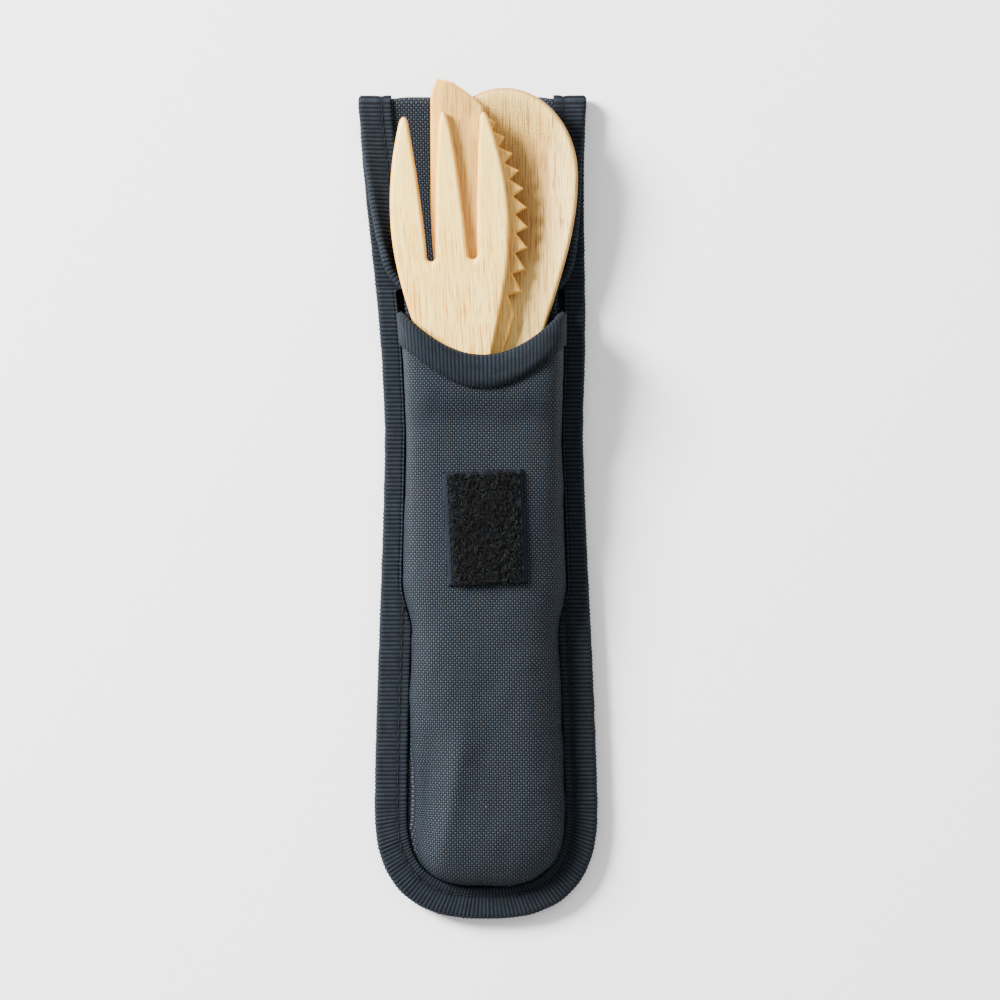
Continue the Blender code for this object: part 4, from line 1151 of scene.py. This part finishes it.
def knife_shape(x, from_butt, distance):
    """A bevel lowers the upper face along the spine, and the teeth are thinner."""
    y = from_butt + STACK_BUTT_Y
    from_spine = x - knife_left(y)
    from_belly = belly(y) - x
    head = smooth((y - 30 * MM) / (20 * MM))
    bevel = 0.42 * MM * (1 - smooth(from_spine / (2.8 * MM))) * head
    thin = 0.3 * (1 - smooth(from_belly / (5 * MM))) * head
    half = rounded(distance, 0.7 * MM)
    upper = half * (1 - thin) - bevel * np.clip(half / (THICK / 2), 0, 1)
    # Painted highlight: the bevel along the spine, which faces the light, is mixed toward the golden
    # edge colour.
    spine_highlight = (1 - smooth((from_spine - 1.9 * MM) / (0.7 * MM))) * head
    layers = {"edge": distance / (1.6 * MM), "lower": 0.75, "speckle": 0.0, "light_and_shade": 0.62 * spine_highlight}
    return upper, -half, layers


rows = [np.linspace(KNIFE_TIP_Y, 98 * MM, 30), tips, notches, np.linspace(98, 38, 230) * MM,
        [HEEL_Y], np.linspace(37, -85, 120) * MM, KNIFE_TIP_Y - butt_rows(KNIFE_LENGTH)]
y = np.unique(np.round(np.concatenate(rows), 7))[::-1]
left, right = knife_left(y), np.maximum(knife_right(y), knife_left(y))
from_butt = y - STACK_BUTT_Y
knife_band = band(left, right, -from_butt, 40)
sides = [np.stack([right, from_butt], axis=-1), np.stack([left, from_butt], axis=-1)[::-1]]
knife = bamboo_piece("bamboo_knife", [knife_band], np.concatenate(sides), knife_shape, tan_bamboo,
                     (KNIFE_X, 0.0, 1.5 * THICK + GAP), 0.0)
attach(knife, "root")
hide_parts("knife")

# %% [markdown]
# ### The fork
#
# Three tines. The head is three bands of points, one per tine, which are welded to each other
# below the slots. The outer tines start a little lower than the middle one.

# %% Fork
FORK_LENGTH, FORK_TIP, FORK_TURN = 188.0 * MM, (-8.9 * MM, 96.9 * MM), radians(3.5)
FORK_HALF, FORK_TIP_HALF, FORK_WIDEST, FORK_NECK = 14.8 * MM, 10.5 * MM, 27.0 * MM, 54.0 * MM
SLOT_DEPTH, SLOT_INNER, SLOT_OUTER, SLOT_FLARE = 36.0 * MM, 4.1 * MM, 6.3 * MM, 2.9 * MM
SLOT_MIDDLE, SLOT_RADIUS = (SLOT_INNER + SLOT_OUTER) / 2, (SLOT_OUTER - SLOT_INNER) / 2
TINE_COLUMNS, TINE_LAG = 22, 0.8 * MM


def fork_half(s):
    """The outside: a parabola to the widest place, a cosine neck, then the handle."""
    head = FORK_HALF - (FORK_HALF - FORK_TIP_HALF) * np.maximum(0.0, 1 - s / FORK_WIDEST) ** 2
    neck = narrowing(s, FORK_WIDEST, FORK_NECK, FORK_HALF, HANDLE_HALF)
    shaft = neck + handle_swell(s, FORK_LENGTH)
    return np.where(s < FORK_WIDEST, head, shaft) * handle_end(s, FORK_LENGTH)


def slot_sides(s):
    """Inner and outer side of a slot, which ends in half a circle and is closed below it."""
    up = np.clip(s / SLOT_DEPTH, 0.0, 1.0)
    end = np.sqrt(np.clip(SLOT_RADIUS ** 2 - (s - SLOT_DEPTH) ** 2, 0, None))
    inner = np.where(s < SLOT_DEPTH, SLOT_INNER * up ** 0.45, SLOT_MIDDLE - end)
    outer = np.where(s < SLOT_DEPTH, SLOT_OUTER + SLOT_FLARE * (1 - up) ** 1.5, SLOT_MIDDLE + end)
    below = s >= SLOT_DEPTH + SLOT_RADIUS
    return np.where(below, SLOT_MIDDLE, inner), np.where(below, SLOT_MIDDLE, outer)


def fork_shape(x, y, distance):
    """Flat faces with rounded edges and a slight crown across the head."""
    half = rounded(distance, 0.95 * MM)
    sag = 0.25 * MM * np.clip(np.abs(x) / FORK_HALF, 0, 1) ** 2
    lower = smooth((-y - 8 * MM) / (45 * MM))
    layers = {"edge": distance / (1.5 * MM), "lower": lower, "speckle": 0.0, "light_and_shade": 0.0}
    return half - sag, -half, layers


slot_rows = SLOT_DEPTH + SLOT_RADIUS * np.sin(np.linspace(0, pi / 2, 9))
s = np.concatenate([np.linspace(0.0, 1.0, 14) ** 2 * 6 * MM, np.linspace(6.5, 35.5, 60) * MM,
                    slot_rows, np.linspace(38, 180.8, 150) * MM, butt_rows(FORK_LENGTH)])
inner, outer = slot_sides(s)
middle = band(-inner, inner, s, TINE_COLUMNS)
tine_s = s + TINE_LAG * np.clip(1 - s / (10 * MM), 0, 1)
inner, outer = slot_sides(tine_s)
from_tip = np.clip((tine_s - TINE_LAG) / (1.3 * MM), 0, 1)
blunt = np.sqrt(np.clip(1 - (1 - from_tip) ** 2, 0, 1))
tine_half, tine_middle = (fork_half(tine_s) - outer) / 2 * blunt, (fork_half(tine_s) + outer) / 2
tine = band(tine_middle - tine_half, tine_middle + tine_half, tine_s, TINE_COLUMNS)
other = (-tine[0][:, ::-1], tine[1][:, ::-1])
right_side = np.stack([tine_middle + tine_half, -tine_s], axis=-1)
slot_outer = np.stack([tine_middle - tine_half, -tine_s], axis=-1)[tine_s <= SLOT_DEPTH + SLOT_RADIUS]
slot_inner = np.stack([slot_sides(s)[0], -s], axis=-1)[s <= SLOT_DEPTH + SLOT_RADIUS]
half_outline = np.concatenate([right_side[::-1], slot_outer, slot_inner[::-1]])
outline = np.concatenate([half_outline, (half_outline * [-1, 1])[::-1]])
fork = bamboo_piece("bamboo_fork", [other, middle, tine], outline, fork_shape, pale_bamboo,
                    (FORK_TIP[0], FORK_TIP[1] - STACK_BUTT_Y, 2.5 * THICK + 2 * GAP), FORK_TURN)
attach(fork, "root")
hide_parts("fork")

# %% [markdown]
# ## The closing patch
#
# The soft half of a hook-and-loop fastener: a woven base with plain edges, and on it thousands of
# fine nylon loops, brushed into a fuzz. Hair could grow them, but a few thousand short curved tubes
# are real geometry that any program can read.

# %% Loop patch
LOOP_SIZE, LOOP_PLACE, LOOP_TURN = (20.0 * MM, 28.5 * MM), (1.6 * MM, -7.0 * MM), radians(2.6)
BASE_THICK, BASE_YARN, BASE_COLUMNS, BASE_ROWS = 0.8 * MM, 0.42 * MM, 42, 58
LOOPS, LOOP_PLACES, FIBRE = 3300, 6, 0.075 * MM


def front_height(x, y):
    """Height of the front panel's smooth arch over a place near the pouch's middle."""
    share = np.abs(x - centre(y)) / (half_width(y) - arch_inset(y))
    base = front_base(y)
    return base + (crown(y) - base) * (1 - share ** arch_power(y)) ** (1 / arch_power(y))


def on_patch(u, v, lift):
    """A place on the patch, u and v from its middle, at a height above the front cloth."""
    x = LOOP_PLACE[0] + u * np.cos(LOOP_TURN) - v * np.sin(LOOP_TURN)
    y = LOOP_PLACE[1] + u * np.sin(LOOP_TURN) + v * np.cos(LOOP_TURN)
    z = front_height(x, y) + CLOTH / 2 + GAP + lift
    return np.stack(np.broadcast_arrays(x, y, z), axis=-1)


def patch_finish():
    """The base: a fine dark weave."""
    coat = Coat("loop_base", Specular_IOR_Level=0.1)
    u, v = coat.uv()
    warp, weft = plain_weave(u / BASE_YARN, v / BASE_YARN)
    height = warp.larger(weft)
    fuzz = coat.noise(u * 4000, v * 4000, detail=3.0)
    # Painted shade and highlight: the weave's raised yarn is lighter and the gaps between are darker.
    colour = coat.mix(height * (0.4 + fuzz), tone(4, 5, 9), tone(24, 29, 38))
    return coat.finish(colour, 0.85 - 0.1 * fuzz, height, 0.1 * MM)


def fibre_finish():
    """The loops: near black, with a few brown and green fibres that catch the light."""
    coat = Coat("loop_pile", Specular_IOR_Level=0.15)
    pick = coat.read("pick")
    brown = coat.mix(pick.step(0.66, 0.99), tone(3, 4, 5), tone(29, 28, 27))
    green = coat.mix(pick.step(0.93, 0.97), brown, tone(36, 44, 38))
    return coat.finish(green, 0.6 + 0.2 * pick, pick, 0.01 * MM)


u = np.linspace(-0.5, 0.5, BASE_COLUMNS)[None, :] * LOOP_SIZE[0]
v = np.linspace(-0.5, 0.5, BASE_ROWS)[:, None] * LOOP_SIZE[1]
wavy = 1 + 0.006 * ripple(v, 0.0, 8 * MM, 21)
edge_in = np.minimum(LOOP_SIZE[0] / 2 - np.abs(u), LOOP_SIZE[1] / 2 - np.abs(v))
thick = BASE_THICK * 0.9 * np.clip(edge_in / (0.25 * MM), 0, 1) ** 0.5
upper = on_patch(u * wavy, v, thick)
lower = on_patch(u * wavy, v, 0.0)
points = np.concatenate([upper, lower]).reshape(-1, 3)
flat = np.stack(np.broadcast_arrays(u, v), axis=-1)
uv = np.concatenate([flat, flat]).reshape(-1, 2)
grid = grid_faces(BASE_ROWS, BASE_COLUMNS)
faces = np.concatenate([grid, grid[:, ::-1] + BASE_ROWS * BASE_COLUMNS])
loop_base = make_mesh("loop_base", points, faces, patch_finish(), uv, weld=True)
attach(loop_base, "root")
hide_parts("loop_patch")

root_u = chance.uniform(-0.5, 0.5, LOOPS) * (LOOP_SIZE[0] - 3.2 * MM)
root_v = chance.uniform(-0.5, 0.5, LOOPS) * (LOOP_SIZE[1] - 1.0 * MM)
heading = chance.uniform(0, 2 * pi, LOOPS)
span = chance.uniform(0.6, 1.7, LOOPS) * MM
peak = chance.uniform(0.35, 0.85, LOOPS) * MM
curl = chance.uniform(-0.6, 0.6, LOOPS) * MM
t = np.linspace(0.0, 1.0, LOOP_PLACES)[None]
out = span[:, None] * (t - 0.5 - 0.16 * np.sin(2 * pi * t))
bow = curl[:, None] * np.sin(pi * t) + 0.15 * MM * np.sin(2 * pi * t + heading[:, None])
u = root_u[:, None] + out * np.cos(heading)[:, None] - bow * np.sin(heading)[:, None]
v = root_v[:, None] + out * np.sin(heading)[:, None] + bow * np.cos(heading)[:, None]
u = np.clip(u, -LOOP_SIZE[0] / 2 + 1.0 * MM, LOOP_SIZE[0] / 2 - 1.0 * MM)
lines = on_patch(u, v, 0.62 * MM + peak[:, None] * np.sin(pi * t))
picks = chance.uniform(0, 1, LOOPS)
loops = tubes("loop_pile", lines, np.full(LOOP_PLACES, FIBRE), fibre_finish(), {"pick": picks})
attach(loops, "root")

# %% [markdown]
# ## The hook half
#
# The stiff half is sewn on the flap, which is tucked away, so it faces the back panel inside the
# pouch. Its CAD shape is right as it is and only gets its finish: rows of hooks as fine bumps.

# %% Hook patch
HOOK_PITCH = 0.7 * MM


def hook_finish():
    """Rows of small round bumps: the product of a sine along x and one along y."""
    coat = Coat("hook_tape", Specular_IOR_Level=0.4)
    x, y = coat.place()
    hooks = (x * (pi / HOOK_PITCH)).sine().size() * (y * (pi / HOOK_PITCH)).sine().size()
    # Painted highlight on the tops of the hooks and painted shade between them.
    colour = coat.mix(hooks, tone(9, 10, 12), tone(42, 44, 48))
    return coat.finish(colour, 0.6 - 0.15 * hooks, hooks, 0.2 * MM)


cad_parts["hook_patch"].material_slots[0].material = hook_finish()

# %% [markdown]
# ## Threads
#
# The tape is lock-stitched 5 mm from the edge. A stitch is a thread that comes up through a hole,
# lies along the tape and goes down again, so each one is a short tube whose ends dip in.

# %% Stitches
THREAD, TWIST, THREAD_PLACES = 0.13 * MM, 0.3 * MM, 6


def stitches(name, line, normal, pitch, share):
    """Stitches along a line with the normals to its ground: share of each pitch is thread."""
    run = run_of(line)
    count = int(run[-1] / pitch)
    t = np.linspace(0.0, 1.0, THREAD_PLACES)
    at = (np.arange(count)[:, None] + 0.5 * (1 - share) + share * t[None]) * (run[-1] / count)
    place = np.stack([np.interp(at, run, line[:, k]) for k in range(3)], axis=-1)
    up = unit(np.stack([np.interp(at, run, normal[:, k]) for k in range(3)], axis=-1))
    height = THREAD * (2.2 * np.sin(pi * t) ** 0.5 - 1.2)
    lines = place + up * height[None, :, None]
    made = tubes(name, lines, np.full(THREAD_PLACES, THREAD), thread_coat)
    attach(made, "root")


def thread_finish():
    """Twisted thread, a little lighter than the tape."""
    coat = Coat("sewing_thread", Specular_IOR_Level=0.2)
    x, y = coat.place()
    twist = ((x + y) * (2 * pi / TWIST)).sine()
    # Painted highlight and shade: the colour follows the twist, lighter on the plies' crowns and
    # darker in the grooves between them.
    colour = coat.mix(twist * 0.5 + 0.5, tone(8, 11, 15), tone(34, 40, 48))
    return coat.finish(colour, 0.6 + 0.1 * twist, twist, 0.05 * MM)


thread_coat = thread_finish()
FIRST_FACE, SECOND_FACE, PITCH, SHOWN = 3, 17, 2.9 * MM, 0.78
seams = [("edge_stitches_back", loop_face, loop_normal, FIRST_FACE),
         ("edge_stitches_front", loop_face, loop_normal, SECOND_FACE),
         ("mouth_stitches", mouth_face, mouth_normal, FIRST_FACE),
         ("mouth_stitches_inside", mouth_face, mouth_normal, SECOND_FACE)]
for name, face, normal, place in seams:
    stitches(name, face[:, place], normal[:, place], PITCH, SHOWN)
inside = 1.0 * MM
corner_u = np.array([-1, 1, 1, -1, -1]) * (LOOP_SIZE[0] / 2 - inside)
corner_v = np.array([-1, -1, 1, 1, -1]) * (LOOP_SIZE[1] / 2 - inside)
t = np.linspace(0, 4, 161)
sides = np.arange(5)
border = on_patch(np.interp(t, sides, corner_u), np.interp(t, sides, corner_v), 0.74 * MM)
stitches("patch_stitches", border, np.tile(UP, (len(t), 1)), 2.4 * MM, 0.8)

# %% [markdown]

# %% [markdown]
# ## Floor, light and camera
#
# A plain pale floor, one large soft lamp from the left, a weaker one from the top right and an even
# surround. The camera looks straight down from far away with a long lens, so the sides of the pouch
# hardly show.

# %% Stage
FLOOR, PALE = 3.0, (0.93, 0.93, 0.93, 1.0)
floor_data = bpy.data.meshes.new("floor")
corners = [(-FLOOR, -FLOOR, 0), (FLOOR, -FLOOR, 0), (FLOOR, FLOOR, 0), (-FLOOR, FLOOR, 0)]
floor_data.from_pydata(corners, [], [(0, 1, 2, 3)])
floor = bpy.data.objects.new("floor", floor_data)
bpy.context.scene.collection.objects.link(floor)
floor_coat = Coat("pale_floor", Base_Color=PALE, Roughness=0.9, Specular_IOR_Level=0.1)
floor_data.materials.append(floor_coat.material)


def lamp(name, place, size, power):
    """A square lamp that faces the pack."""
    data = bpy.data.lights.new(name, "AREA")
    data.size = size
    data.energy = power
    item = bpy.data.objects.new(name, data)
    bpy.context.scene.collection.objects.link(item)
    item.location = place
    item.rotation_euler = (-item.location).to_track_quat("-Z", "Y").to_euler()


lamp("key", (-1.25, 0.75, 0.8), 0.6, 170.0)
lamp("fill", (0.5, 0.9, 1.2), 0.9, 6.0)
world = bpy.data.worlds.new("studio")
world.use_nodes = True
surround = world.node_tree.nodes["Background"]
surround.inputs["Color"].default_value = (1.0, 1.0, 1.0, 1.0)
surround.inputs["Strength"].default_value = 0.88
bpy.context.scene.world = world

lens = bpy.data.cameras.new("camera")
lens.sensor_width = 36.0
lens.lens = 216.0
lens.clip_start, lens.clip_end = 0.1, 10.0
camera = bpy.data.objects.new("camera", lens)
bpy.context.scene.collection.objects.link(camera)
camera.location = (5.25 * MM, -0.1 * MM, 1.508)
bpy.context.scene.camera = camera
